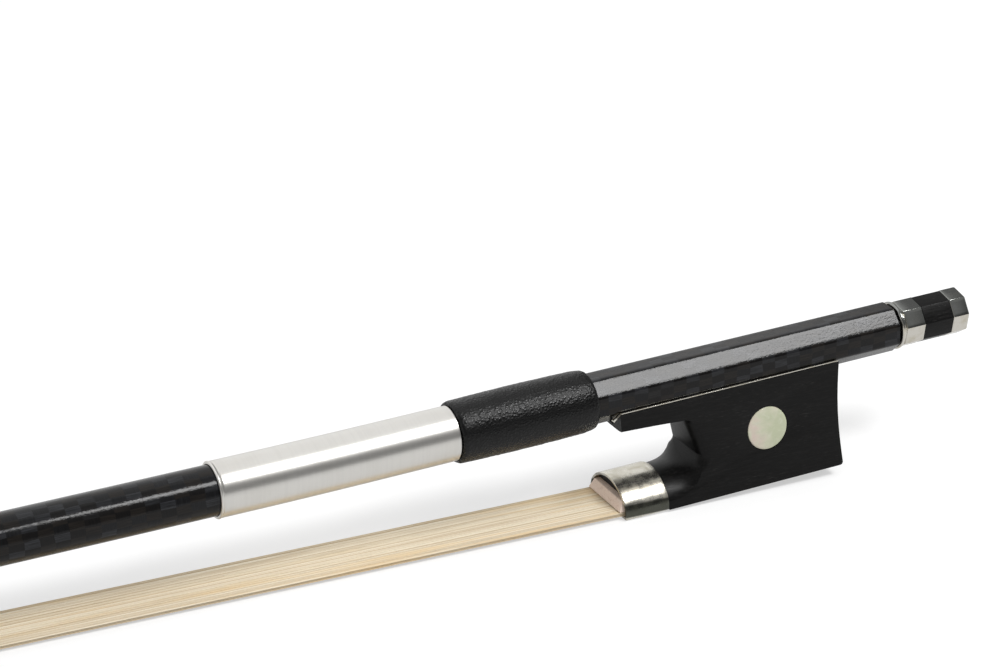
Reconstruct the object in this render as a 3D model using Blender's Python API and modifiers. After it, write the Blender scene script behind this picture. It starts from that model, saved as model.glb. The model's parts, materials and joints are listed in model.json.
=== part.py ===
"""Violin bow with a carbon-fibre stick, modelled as it comes apart on a bench.

World frame, metres: +X from the head's nose to the button, +Z from the hair to the stick, and z = 0 on the
surface that the bow stands on, which touches the ferrule's front edge and the tip plate.
Handle frame: origin on the stick's axis above the frog's front, +X along the handle towards the button.
Head frame: origin on the standing surface below the nose, axes parallel to the world's.
"""
import math

import bmesh
import bpy
import numpy as np
from mathutils import Matrix, Vector

MM = 0.001

# Whole bow
bow_length = 745 * MM
handle_tilt = math.radians(2.79)
seat_gap = 0.2 * MM
sleeve_gap = 0.1 * MM

# Stick
handle_flats = 8.3 * MM
handle_corner = 0.8 * MM
handle_rear = 56.6 * MM
handle_front = -26 * MM
round_start = -32 * MM
bend_start = -45 * MM
camber_start = -65 * MM
bend_turn = 0.0125
handle_round = 8.55 * MM
neck_diameter = 5.3 * MM
neck_height = 17.1 * MM
neck_slope = math.radians(-2.8)
neck_station = 30 * MM
taper_power = 1.25
stick_bore = 5.5 * MM
stick_wall = 1.5 * MM
end_chamfer = 0.3 * MM
ring_corners = 8

# Head
nose_start = 1.2 * MM
plate_end = 24 * MM
plate_width = 10.6 * MM
plate_nose_width = 3.4 * MM
plate_thickness = 1 * MM
nose_rise = 4.2 * MM
nose_power = 1.8
plate_width_reach = 14 * MM
liner_thickness = 0.25 * MM
layer_gap = 0.05 * MM
throat_start = 24.2 * MM
throat_radius = 3.2 * MM
ridge_half = 0.3 * MM
ridge_top = 13.6 * MM
ridge_drop = 0.65 * MM
neck_level = 20 * MM
head_round_start = 15 * MM
ridge_power = 2.65
nose_edge = 0.8 * MM
cheek_edge = 0.25 * MM
cheek_start = 5 * MM
cheek_power = 4.8
back_chamfer = 1.5 * MM
window_front = 13.9 * MM
window_back = 20.6 * MM
window_width = 7.6 * MM
mortise_depth = 7 * MM
hair_recess = 0.75 * MM

# Hair
hair_thickness = 0.7 * MM
hair_head_thickness = 0.55 * MM
hair_clearance = 0.08 * MM
hair_head_width = 8.9 * MM
hair_frog_width = 11.6 * MM
hair_exit_height = 0.87 * MM
hair_grooves = 10
groove_depth = 0.12 * MM

# Lapping and grip
winding_front = -72 * MM
winding_rear = -29.6 * MM
winding_wall = 0.35 * MM
winding_lip = 0.25 * MM
grip_front = -29.3 * MM
grip_rear = -4 * MM
grip_wall = 0.75 * MM
grip_bulge = 0.15 * MM

# Frog
frog_length = 43.4 * MM
frog_bottom = 21.25 * MM
frog_top_width = 9.36 * MM
frog_bottom_width = 13.2 * MM
heel_hollow = 0.65 * MM
heel_corner = 0.5 * MM
tongue_thickness = 3.5 * MM
tongue_drop = 0.7 * MM
throat_top_depth = 13 * MM
throat_depth = 15.1 * MM
throat_deepest = 13.5 * MM
throat_corner = 1.5 * MM
throat_foot = 2.7 * MM
throat_round = 2 * MM
tongue_round = 0.25
saddle_crop = 0.4 * MM
saddle_reach = 8.6 * MM
saddle_side = 4 * MM
saddle_rise = 12 * MM
saddle_square = 2
frog_liner_thickness = 0.35 * MM
eye_diameter = 7.8 * MM
eye_thickness = 1.2 * MM
eye_station = 28.4 * MM
eye_depth = 10.86 * MM
slide_width = 8 * MM
slide_end = 39.5 * MM
slide_base_thickness = 0.6 * MM
pearl_thickness = 0.6 * MM
frog_mortise_front = 16.2 * MM
frog_mortise_length = 10 * MM
frog_mortise_width = 7.6 * MM
frog_mortise_depth = 6.6 * MM

# Ferrule
ferrule_front = -0.15 * MM
ferrule_length = 8.4 * MM
ferrule_width = 13.3 * MM
ferrule_height = 5.85 * MM
ferrule_side = 1.05 * MM
ferrule_curve = 1.85
ferrule_wall = 0.5 * MM
frog_nose_setback = 0.9 * MM
wedge_thickness = 1.7 * MM
wedge_length = 6 * MM
wedge_lean = 0.8 * MM

# Eyelet and screw
eyelet_station = 22 * MM
eyelet_width = 3.2 * MM
eyelet_ring = 4.9 * MM
eyelet_stem = 2.8 * MM
eyelet_stem_length = 8 * MM
slot_width = 3.6 * MM
liner_opening_length = 4.8 * MM
liner_opening_width = 3.4 * MM
screw_diameter = 3.2 * MM
screw_front = -5 * MM
screw_nose_diameter = 2.2 * MM
screw_nose_length = 5 * MM
screw_taper = 0.6 * MM
frog_travel_forward = 2.5 * MM
frog_travel_back = 6 * MM
bush_length = 6 * MM
nose_bush_front = -4.5 * MM
nose_bush_length = 3.6 * MM
liner_screw_shank = 1 * MM
liner_screw_length = 3.2 * MM
liner_screw_front = 17 * MM
liner_screw_inset = 6.4 * MM

# Button
button_flats = 7.85 * MM
button_corner = 0.3 * MM
button_turn = math.radians(12)
button_start = 56.9 * MM
bead_length = 1 * MM
bead_diameter = 8.6 * MM
front_ring_length = 3.9 * MM
core_length = 5.9 * MM
rear_ring_length = 3.5 * MM
ring_bore = 6.5 * MM
cap_thickness = 0.8 * MM

# Facet counts
round_sides = 24
fine_sides = 32
small_sides = 16

octagon_turn = math.tan(math.radians(22.5))
frog_top = (handle_flats / 2 + sleeve_gap) * (1 + octagon_turn) - frog_top_width / 2 + frog_liner_thickness
liner_screw_rear = frog_length - liner_screw_inset
button_length = bead_length + front_ring_length + core_length + rear_ring_length
button_end = button_start + button_length
handle_x = bow_length / 2 - button_end * math.cos(handle_tilt)
handle_z = frog_bottom * math.cos(handle_tilt) - ferrule_front * math.sin(handle_tilt)
head_x = -bow_length / 2 - nose_start
cheek_slope = (frog_bottom_width - frog_top_width) / 2 / (frog_bottom - frog_top)


def clear_scene():
    for item in list(bpy.data.objects):
        bpy.data.objects.remove(item, do_unlink=True)


clear_scene()
parts = bpy.data.collections.new("violin_bow")
cutters = bpy.data.collections.new("cutters")
for group in (parts, cutters):
    bpy.context.scene.collection.children.link(group)


def material(name, color, roughness, metallic=0.0):
    made = bpy.data.materials.new(name)
    made.use_nodes = True
    shader = made.node_tree.nodes["Principled BSDF"]
    shader.inputs["Base Color"].default_value = (*color, 1)
    shader.inputs["Roughness"].default_value = roughness
    shader.inputs["Metallic"].default_value = metallic
    return made


looks = {
    "carbon": material("carbon", (0.02, 0.021, 0.024), 0.18),
    "ivory": material("ivory", (0.82, 0.75, 0.6), 0.35),
    "liner": material("liner", (0.03, 0.03, 0.03), 0.5),
    "silver": material("silver", (0.72, 0.7, 0.66), 0.22, 1.0),
    "leather": material("leather", (0.015, 0.015, 0.016), 0.5),
    "ebony": material("ebony", (0.018, 0.016, 0.015), 0.4),
    "pearl": material("pearl", (0.72, 0.76, 0.7), 0.2),
    "hair": material("hair", (0.72, 0.62, 0.44), 0.5),
    "wood": material("wood", (0.62, 0.42, 0.3), 0.6),
    "brass": material("brass", (0.75, 0.55, 0.25), 0.3, 1.0),
    "steel": material("steel", (0.55, 0.55, 0.56), 0.3, 1.0),
}


def frame_at(name, location, pitch=0.0, parent=None, roll=0.0):
    empty = bpy.data.objects.new(name, None)
    empty.location = location
    empty.rotation_euler = (roll, -pitch, 0)
    empty.parent = parent
    parts.objects.link(empty)
    return empty


handle = frame_at("handle_frame", (handle_x, 0, handle_z), handle_tilt)
frog_frame = frame_at("frog_frame", (0, 0, 0), 0, handle)
screw_frame = frame_at("screw_axis", (0, 0, 0), 0, handle, button_turn)
head = frame_at("head_frame", (head_x, 0, 0))


# Modelling helpers. Side maps an outline's (u, v) to (x, z), and across maps it to (y, z).
SIDE = Matrix(((1, 0, 0, 0), (0, 0, -1, 0), (0, 1, 0, 0), (0, 0, 0, 1)))
ACROSS = Matrix(((0, 0, 1, 0), (1, 0, 0, 0), (0, 1, 0, 0), (0, 0, 0, 1)))


def place(name, mesh, frame=None, look=None, location=(0, 0, 0), rotation=(0, 0, 0)):
    """Link a mesh as a part when it has a look, or as a cutter when it has none."""
    made = bpy.data.objects.new(name, mesh)
    made.parent = frame
    made.location = location
    made.rotation_euler = rotation
    if look is None:
        cutters.objects.link(made)
        made.hide_render = True
        made.display_type = "WIRE"
        return made
    parts.objects.link(made)
    mesh.materials.append(look)
    mesh.shade_smooth()
    mesh.set_sharp_from_angle(angle=math.radians(30))
    return made


def mesh_from(form, name):
    mesh = bpy.data.meshes.new(name)
    bmesh.ops.recalc_face_normals(form, faces=form.faces)
    form.to_mesh(mesh)
    form.free()
    return mesh


def outline_mesh(name, loops, thickness, turn=ACROSS):
    """Extrude a flat outline, whose later loops are holes, centred on its own plane."""
    curve = bpy.data.curves.new(name, "CURVE")
    curve.dimensions = "2D"
    curve.fill_mode = "BOTH"
    curve.extrude = thickness / 2
    for loop in loops:
        spline = curve.splines.new("POLY")
        spline.points.add(len(loop) - 1)
        for point, (u, v) in zip(spline.points, loop):
            point.co = (u, v, 0, 1)
        spline.use_cyclic_u = True
    holder = bpy.data.objects.new(name, curve)
    bpy.context.scene.collection.objects.link(holder)
    bpy.context.view_layer.update()
    seen = holder.evaluated_get(bpy.context.evaluated_depsgraph_get())
    mesh = bpy.data.meshes.new_from_object(seen)
    bpy.data.objects.remove(holder, do_unlink=True)
    form = bmesh.new()
    form.from_mesh(mesh)
    bpy.data.meshes.remove(mesh)
    bmesh.ops.remove_doubles(form, verts=form.verts, dist=0.001 * MM)
    bmesh.ops.transform(form, matrix=turn, verts=form.verts)
    return mesh_from(form, name)


def rod_mesh(name, diameter, length, sides=round_sides, end_diameter=None):
    """A rod or cone along X, from x = 0 to its length."""
    form = bmesh.new()
    far = diameter if end_diameter is None else end_diameter
    bmesh.ops.create_cone(form, cap_ends=True, segments=sides, radius1=diameter / 2, radius2=far / 2, depth=length)
    lay = Matrix.Translation((length / 2, 0, 0)) @ Matrix.Rotation(math.radians(90), 4, "Y")
    bmesh.ops.transform(form, matrix=lay, verts=form.verts)
    return mesh_from(form, name)


def block_mesh(name, low, high):
    form = bmesh.new()
    bmesh.ops.create_cube(form, size=1)
    size = [b - a for a, b in zip(low, high)]
    middle = [(a + b) / 2 for a, b in zip(low, high)]
    bmesh.ops.scale(form, vec=size, verts=form.verts)
    bmesh.ops.translate(form, vec=middle, verts=form.verts)
    return mesh_from(form, name)


def loft_mesh(name, rings):
    """Skin a row of rings that all have the same number of points, and close both ends."""
    form = bmesh.new()
    rows = [[form.verts.new(point) for point in ring] for ring in rings]
    count = len(rows[0])
    for near, far in zip(rows, rows[1:]):
        for i in range(count):
            j = (i + 1) % count
            form.faces.new((near[i], near[j], far[j], far[i]))
    form.faces.new(rows[0])
    form.faces.new(rows[-1])
    return mesh_from(form, name)


def turned_mesh(name, profile, sides=round_sides):
    """Turn a closed (x, radius) profile about the X axis with a Screw modifier, and keep its mesh."""
    mesh = bpy.data.meshes.new(name)
    points = [(radius, 0, -x) for x, radius in profile]
    edges = [(i, (i + 1) % len(points)) for i in range(len(points))]
    mesh.from_pydata(points, edges, [])
    holder = bpy.data.objects.new(name, mesh)
    bpy.context.scene.collection.objects.link(holder)
    screw = holder.modifiers.new("turn", "SCREW")
    screw.steps = sides
    screw.render_steps = sides
    screw.use_merge_vertices = True
    screw.merge_threshold = 0.001 * MM
    bpy.context.view_layer.update()
    seen = holder.evaluated_get(bpy.context.evaluated_depsgraph_get())
    turned = bpy.data.meshes.new_from_object(seen)
    bpy.data.objects.remove(holder, do_unlink=True)
    form = bmesh.new()
    form.from_mesh(turned)
    bpy.data.meshes.remove(turned)
    bmesh.ops.transform(form, matrix=Matrix.Rotation(math.radians(-90), 4, "Y"), verts=form.verts)
    bmesh.ops.remove_doubles(form, verts=form.verts, dist=0.001 * MM)
    return mesh_from(form, name)


def combine(target, tool, operation="DIFFERENCE"):
    change = target.modifiers.new(tool.name, "BOOLEAN")
    change.operation = operation
    change.solver = "MANIFOLD"
    change.object = tool


def octagon(flats, corner, steps=3):
    """A rounded octagon with level flats, as (u, v) points that go round from the right."""
    reach = (flats / 2 - corner) / math.cos(math.radians(22.5))
    points = []
    for k in range(ring_corners):
        middle = math.radians(22.5 + 45 * k)
        for turn in np.linspace(-22.5, 22.5, steps):
            angle = middle + math.radians(turn)
            points.append((reach * math.cos(middle) + corner * math.cos(angle),
                           reach * math.sin(middle) + corner * math.sin(angle)))
    return points


def circle(radius, corners=ring_corners, steps=3):
    """A circle whose points pair up with the octagon's."""
    step = 360 / corners / steps
    first = 180 / corners - step * (steps - 1) / 2
    angles = [math.radians(first + step * i) for i in range(corners * steps)]
    return [(radius * math.cos(a), radius * math.sin(a)) for a in angles]


def blend(first, second, share):
    return [tuple(a + (b - a) * share for a, b in zip(p, q)) for p, q in zip(first, second)]


# The stick's centreline in the world frame
neck_x = head_x + neck_station
bend_x = handle_x + bend_start * math.cos(handle_tilt)
camber_x = handle_x + camber_start * math.cos(handle_tilt)
camber_rise = math.tan(handle_tilt) - bend_turn
camber_z = handle_z + camber_start * math.sin(handle_tilt) + bend_turn * (bend_x - camber_x) / 2


def stick_axis(x):
    """Height and slope of the stick's axis: straight handle, a short bend, one smooth camber, straight neck."""
    if x >= camber_x:
        into_bend = max(bend_x - x, 0) / (bend_x - camber_x)
        straight = handle_z + (x - handle_x) * math.tan(handle_tilt)
        height = straight + bend_turn * (bend_x - camber_x) * into_bend ** 2 / 2
        return height, math.atan(math.tan(handle_tilt) - bend_turn * into_bend)
    if x <= neck_x:
        return neck_height + (x - neck_x) * math.tan(neck_slope), neck_slope
    span = camber_x - neck_x
    t = (x - neck_x) / span
    low, high = math.tan(neck_slope) * span, camber_rise * span
    rise = camber_z - neck_height
    a = low + high - 2 * rise
    b = 3 * rise - 2 * low - high
    height = neck_height + low * t + b * t ** 2 + a * t ** 3
    slope = (low + 2 * b * t + 3 * a * t ** 2) / span
    return height, math.atan(slope)


def stick_radius(x):
    """Outside radius of the round part, from the winding to the neck."""
    t = min(max((camber_x - x) / (camber_x - neck_x), 0), 1)
    return (handle_round - (handle_round - neck_diameter) * t ** taper_power) / 2


def ring_on_axis(x, points):
    height, slope = stick_axis(x)
    return [(x - v * math.sin(slope), u, height + v * math.cos(slope)) for u, v in points]


def handle_to_world(station):
    return handle_x + station * math.cos(handle_tilt)


# The head: each station gives one half section, from the top edge down to the seat of the plate
def head_axis(x):
    """Height of the stick's axis inside the head, where its slope dies out and the top runs level."""
    rise = math.tan(-neck_slope)
    ahead = min(neck_station - x, neck_station - neck_level)
    return neck_height + rise * ahead - rise * ahead ** 2 / 2 / (neck_station - neck_level)


def plate_face(x):
    """Height of the plate's outer face in the head frame. It sweeps up towards the nose."""
    share = max((plate_end - x) / (plate_end - nose_start), 0)
    return nose_rise * share ** nose_power


def plate_half_width(x):
    share = min(max((plate_width_reach - x) / (plate_width_reach - nose_start), 0), 1)
    return plate_width / 2 - (plate_width - plate_nose_width) / 2 * share ** 2.2


def head_seat(x):
    return plate_face(x) + plate_thickness + liner_thickness + 2 * layer_gap


def cheek_half_width(x, z):
    """Half the head's width: the stick's own at the neck, and nearly the plate's at the plate."""
    neck = neck_diameter / 2
    share = min(max((neck_height - z) / (neck_height - plate_thickness), 0), 1)
    return neck + (plate_half_width(x) - 0.1 * MM - neck) * share


def ridge_height(x):
    """Height of the front ridge: a rounded top corner, a steep drop, and a run-out along the nose."""
    top = head_axis(x) + neck_diameter / 2
    if x >= ridge_top:
        share = (head_round_start - x) / (head_round_start - ridge_top)
        return top - ridge_drop * (1 - math.sqrt(max(1 - share ** 2, 0)))
    share = (x - nose_start) / (ridge_top - nose_start)
    start = head_seat(x) + nose_edge
    return start + (top - ridge_drop - start) * share ** ridge_power


def cheek_top(x):
    """Height at which the front bevel meets the flat cheek."""
    seat = head_seat(x)
    share = min(max((x - cheek_start) / (head_round_start - cheek_start), 0), 1)
    return seat + cheek_edge + (neck_height - seat) * share ** cheek_power


def half_section(x):
    axis_z = head_axis(x)
    seat = head_seat(x)
    radius = neck_diameter / 2
    upper = []
    if x >= head_round_start:
        for k in range(6):
            angle = math.radians(82.5 - 15 * k)
            upper.append((radius * math.cos(angle), axis_z + radius * math.sin(angle)))
    else:
        top, shoulder = ridge_height(x), min(cheek_top(x), ridge_height(x) - 0.1 * MM)
        for k in range(6):
            share = k / 5
            half = ridge_half + (cheek_half_width(x, shoulder) - ridge_half) * share
            upper.append((half, top + (shoulder - top) * share))
    narrow = back_chamfer * min(max((x - (throat_start - 2 * MM)) / (2 * MM), 0), 1)
    start = upper[-1][1]
    lower = []
    for k in range(1, 5):
        z = start + (seat - start) * k / 4
        full = max(cheek_half_width(x, z) - narrow * min((start - z) / (3 * MM), 1), 0.4 * MM)
        lower.append((full, z))
    foot = max(lower[-1][0] - 0.6 * MM, 0.15 * MM)
    return upper + lower + [(foot + 0.2 * MM, seat), (foot, seat)]


def throat_section(x):
    """Half section between the head's back and the neck, where the underside sweeps up in an arc."""
    axis_z, radius = head_axis(x), stick_radius(head_x + x)
    reach = min((x - throat_start) / throat_radius, 1)
    drop = throat_radius * (1 - math.sqrt(max(1 - (1 - reach) ** 2, 0)))
    half = []
    for k in range(12):
        angle = math.radians(82.5 - 15 * k)
        y, z = radius * math.cos(angle), axis_z + radius * math.sin(angle)
        if z < axis_z:
            z -= drop * (axis_z - z) / radius
        half.append((y, z))
    return half


def whole_ring(x, half):
    ring = [(head_x + x, y, z) for y, z in half]
    return list(reversed(ring)) + [(px, -py, pz) for px, py, pz in ring]


def ordered(points):
    """The handle's ring order, started at the bottom so that it matches the head's rings."""
    bottom = len(points) * 3 // 4
    return points[bottom:] + points[:bottom]


def build_stick():
    rings = []
    square = octagon(handle_flats, handle_corner)
    inset = octagon(handle_flats - 2 * end_chamfer, handle_corner)
    rings.append(ring_on_axis(handle_to_world(handle_rear), ordered(inset)))
    rings.append(ring_on_axis(handle_to_world(handle_rear - end_chamfer), ordered(square)))
    for share in (0.2, 0.4, 0.6, 0.8):
        station = handle_rear + (handle_front - handle_rear) * share
        rings.append(ring_on_axis(handle_to_world(station), ordered(square)))
    for share in (0, 0.5, 1):
        x = handle_to_world(handle_front + (round_start - handle_front) * share)
        rings.append(ring_on_axis(x, ordered(blend(square, circle(stick_radius(x)), share))))
    for x in np.linspace(handle_to_world(bend_start), head_x + neck_station + throat_radius, 34):
        rings.append(ring_on_axis(float(x), ordered(circle(stick_radius(float(x))))))
    for reach in (0.9, 0.6, 0.35, 0.18, 0.07, 0.01):
        x = throat_start + reach * throat_radius
        rings.append(whole_ring(x, throat_section(x)))
    stations = [throat_start, throat_start - 1 * MM, throat_start - 2 * MM]
    stations += [(throat_start - 2 * MM + head_round_start) / 2, head_round_start]
    nose_run = head_round_start - nose_start
    stations += [nose_start + nose_run * (1 - 0.072 * k ** 1.12) for k in range(1, 9)]
    stations += [nose_start + nose_run * share for share in (0.17, 0.115, 0.072)]
    for x in stations:
        rings.append(whole_ring(x, half_section(x)))
    mesh = loft_mesh("stick", rings)
    stick = place("stick", mesh, None, looks["carbon"])

    hollow = []
    for x in np.linspace(handle_to_world(handle_rear + 2 * MM), neck_x + 2 * MM, 34):
        radius = min(stick_bore / 2, stick_radius(float(x)) - stick_wall)
        hollow.append(ring_on_axis(float(x), circle(radius)))
    combine(stick, place("stick_hollow", loft_mesh("stick_hollow", hollow)))

    front = eyelet_station - eyelet_stem / 2 - frog_travel_forward - 1.2 * MM
    rear = eyelet_station + eyelet_stem / 2 + frog_travel_back + 1.2 * MM
    slot = block_mesh("eyelet_slot", (front, -slot_width / 2, -handle_flats), (rear, slot_width / 2, 0))
    combine(stick, place("eyelet_slot", slot, handle))

    low = (window_front + 0.3 * MM, -window_width / 2, -1 * MM)
    high = (window_back, window_width / 2, plate_face(window_front) + plate_thickness + mortise_depth)
    combine(stick, place("head_mortise", block_mesh("head_mortise", low, high), head))
    return stick


def layer_mesh(name, bottom_offset, thickness, narrower):
    """A sheet that follows the plate's sweep, from the nose to the back of the head."""
    rings = []
    for x in [1.2, 1.5, 2.1, 3, 4.2, 5.6, 7.2, 9, 11, 13, 15.5, 18, 21, 24]:
        x = x * MM
        half = plate_half_width(x) - narrower
        low = plate_face(x) + bottom_offset
        rings.append([(x, -half, low), (x, half, low), (x, half, low + thickness), (x, -half, low + thickness)])
    return loft_mesh(name, rings)


def build_tip_plate():
    plate = place("tip_plate", layer_mesh("tip_plate", 0, plate_thickness, 0), head, looks["ivory"])
    soften = plate.modifiers.new("edges", "BEVEL")
    soften.width = 0.2 * MM
    soften.segments = 2
    soften.limit_method = "ANGLE"
    soften.angle_limit = math.radians(50)
    low = (window_front, -window_width / 2, -5 * MM)
    high = (window_back, window_width / 2, 8 * MM)
    combine(plate, place("plate_window", block_mesh("plate_window", low, high), head))
    recess_low = (window_back - 1 * MM, -(hair_head_width / 2 + seat_gap), -2 * MM)
    recess_high = (plate_end + 1 * MM, hair_head_width / 2 + seat_gap, hair_recess)
    combine(plate, place("hair_recess", block_mesh("hair_recess", recess_low, recess_high), head))

    offset = plate_thickness + layer_gap
    layer = layer_mesh("tip_liner", offset, liner_thickness, 0.15 * MM)
    liner = place("tip_liner", layer, head, looks["liner"])
    combine(liner, place("liner_window", block_mesh("liner_window", low, high), head))


def build_head_fill():
    """The bound end of the hair and the plug that locks it, both inside the head's mortise."""
    ceiling = plate_face(window_front) + plate_thickness + mortise_depth - seat_gap
    floor = ceiling - 2.4 * MM
    half = window_width / 2 - seat_gap
    back = window_back - seat_gap
    front = window_front + 0.3 * MM + seat_gap
    side = [(front, ceiling), (front, floor), (back - 1.2 * MM, floor), (back - 1.2 * MM, hair_recess + 0.3 * MM),
            (back, hair_recess + 0.3 * MM), (back, ceiling)]
    knot = outline_mesh("head_knot", [side], 2 * half, SIDE)
    place("head_knot", knot, head, looks["hair"])
    plug_low = (front, -half, plate_face(window_front) + hair_recess + 0.1 * MM)
    plug_high = (back - 1.2 * MM - seat_gap, half, floor - seat_gap)
    plug = block_mesh("head_plug", plug_low, plug_high)
    place("head_plug", plug, head, looks["wood"])


def hair_end_at_frog():
    local = Vector((ferrule_front + 1 * MM, 0, -frog_bottom + hair_exit_height))
    return Matrix.Translation((handle_x, 0, handle_z)) @ Matrix.Rotation(-handle_tilt, 4, "Y") @ local


def ribbon_section(width, thickness):
    """A flat band whose two faces have shallow grooves between bunches of hair."""
    half, thick = width / 2, thickness / 2
    steps = 2 * hair_grooves + 2
    under = []
    for i in range(steps + 1):
        dip = groove_depth if 0 < i < steps and i % 2 == 0 else 0
        under.append((-half + width * i / steps, -thick + dip))
    return under + [(u, -v) for u, v in reversed(under)]


def build_hair():
    """The ribbon fills the plate's window, fans out behind it and runs straight to the ferrule."""
    window_hair = window_width - 2 * seat_gap
    lie = hair_clearance + hair_head_thickness / 2
    stations = [(window_front + seat_gap, window_hair), (17 * MM, window_hair),
                (window_back - 1 * MM, window_hair)]
    rows = [(head_x + x, width, plate_face(x) + lie, hair_head_thickness) for x, width in stations]
    rows.append((head_x + window_back - 0.2 * MM, window_hair, lie, hair_head_thickness))
    rows.append((head_x + window_back + 1.4 * MM, hair_head_width, lie, hair_head_thickness))
    end = hair_end_at_frog()
    rows.append((end.x, hair_frog_width, end.z, hair_thickness))
    rings = [[(x, u, z + v) for u, v in ribbon_section(width, thick)] for x, width, z, thick in rows]
    place("hair_ribbon", loft_mesh("hair_ribbon", rings), None, looks["hair"])


def sleeve_mesh(name, rows, gap):
    """A sleeve on the round stick. Rows are (station, wall), from the front to the rear."""
    outer, inner = [], []
    for station, wall in rows:
        x = handle_to_world(station)
        inner.append(ring_on_axis(x, circle(stick_radius(x) + gap)))
        outer.append(ring_on_axis(x, circle(stick_radius(x) + gap + wall)))
    form = bmesh.new()
    loop = outer + list(reversed(inner))
    verts = [[form.verts.new(p) for p in ring] for ring in loop]
    count = len(verts[0])
    for k, near in enumerate(verts):
        far = verts[(k + 1) % len(verts)]
        for i in range(count):
            j = (i + 1) % count
            form.faces.new((near[i], near[j], far[j], far[i]))
    return mesh_from(form, name)


def build_lapping():
    thin = winding_wall * 0.6
    rows = [(winding_front, thin), (winding_front + 0.5 * MM, winding_wall + winding_lip / 2),
            (winding_front + 1.2 * MM, winding_wall), (winding_rear, winding_wall)]
    place("silver_winding", sleeve_mesh("silver_winding", rows, sleeve_gap), None, looks["silver"])

    length = grip_rear - grip_front
    inner_half = handle_flats / 2 / math.cos(math.radians(22.5))
    wall_base = inner_half - handle_round / 2
    rows = []
    for share in (0, 0.02, 0.06, 0.15, 0.3, 0.5, 0.7, 0.85, 0.94, 0.98, 1):
        rounding = 1 - (1 - min(share / 0.06, (1 - share) / 0.12, 1)) ** 2
        bulge = grip_bulge * math.sin(math.pi * share)
        rows.append((grip_front + length * share, 0.35 * MM + (grip_wall - 0.35 * MM) * rounding + bulge))
    place("grip_leather", sleeve_mesh("grip_leather", rows, wall_base + sleeve_gap), None, looks["leather"])


def d_outline(half_width, side, height, bottom, curve=ferrule_curve, steps=16):
    """The ferrule's D: a flat bottom, short upright sides and a superellipse for its top."""
    points = [(half_width, bottom), (half_width, bottom + side)]
    for i in range(1, steps):
        angle = math.pi * i / steps
        across = math.copysign(abs(math.cos(angle)) ** (2 / curve), math.cos(angle))
        points.append((half_width * across, bottom + side + (height - side) * math.sin(angle) ** (2 / curve)))
    points += [(-half_width, bottom + side), (-half_width, bottom)]
    return points


def frog_outline():
    """The frog's side view before the throat is cut: a block with a hollow heel."""
    top, bottom = -frog_top + 0.5 * MM, -frog_bottom
    points = [(0, top), (0, bottom), (frog_length - heel_corner, bottom),
              (frog_length - heel_corner * 0.3, bottom + heel_corner * 0.3)]
    for i in range(9):
        share = i / 8
        z = bottom + heel_corner + (top - bottom - heel_corner) * share
        points.append((frog_length - heel_hollow * math.sin(math.pi * share), z))
    return points


def throat_outline():
    """What the throat's cutter takes away in side view, as (x, z, outward x, outward z)."""
    tongue = -frog_top - tongue_thickness
    roof = tongue - tongue_drop
    wall_x = ferrule_front + ferrule_length + sleeve_gap
    floor = -frog_bottom + ferrule_height
    lift = tongue_round
    points = [(-3 * MM, tongue, 0, lift), (0, tongue, 0, lift),
              (throat_top_depth / 2, (tongue + roof) / 2, 0, lift)]
    for i in range(7):
        angle = math.radians(90 - 12 * i)
        points.append((throat_top_depth + throat_corner * (math.cos(angle) - 1),
                       roof - throat_corner * (1 - math.sin(angle)), math.cos(angle), lift * math.sin(angle)))
    deepest = -throat_deepest
    points.append(((throat_top_depth + throat_depth) / 2 + 0.25 * MM, (roof - throat_corner + deepest) / 2, 1, 0))
    for i in range(14):
        angle = math.radians(-90 * i / 13)
        points.append((throat_depth + throat_foot * (math.cos(angle) - 1),
                       deepest + (deepest - floor) * math.sin(angle), math.cos(angle), math.sin(angle)))
    low = -frog_bottom - 2 * MM
    points += [(wall_x, floor, 0, 0), (wall_x, low, 0, 0), (-3 * MM, low, 0, 0)]
    return points


def throat_mesh():
    """The throat's cutter. It opens out at both cheeks, which rounds the throat's edges."""
    levels = [(-1 * MM, 1)]
    for turn in (90, 72, 54, 36, 18, 0):
        angle = math.radians(turn)
        levels.append((throat_round * (1 - math.sin(angle)), 1 - math.cos(angle)))
    rings = []
    for sign, order in ((-1, levels), (1, levels[::-1])):
        for depth, spread in order:
            ring = []
            for x, z, out_x, out_z in throat_outline():
                px, pz = x + out_x * spread * throat_round, z + out_z * spread * throat_round * 0.5
                half = frog_top_width / 2 + (-frog_top - pz) * cheek_slope
                ring.append((px, sign * (half - depth), pz))
            rings.append(ring)
    return loft_mesh("throat_cut", rings)


def taper_cheeks(mesh):
    """Narrow the extruded frog towards the stick, so that each cheek stays flat."""
    for vert in mesh.vertices:
        half = frog_top_width / 2 + (-frog_top - vert.co.z) * cheek_slope
        vert.co.y = math.copysign(half, vert.co.y)


def lower_octagon(offset, edge):
    """Half of the handle's lower facets, moved out by offset, from the middle up to height -edge."""
    reach = handle_flats / 2 + offset
    turn = reach * octagon_turn
    return [(turn, -reach), (reach + turn - edge, -edge)]


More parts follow.
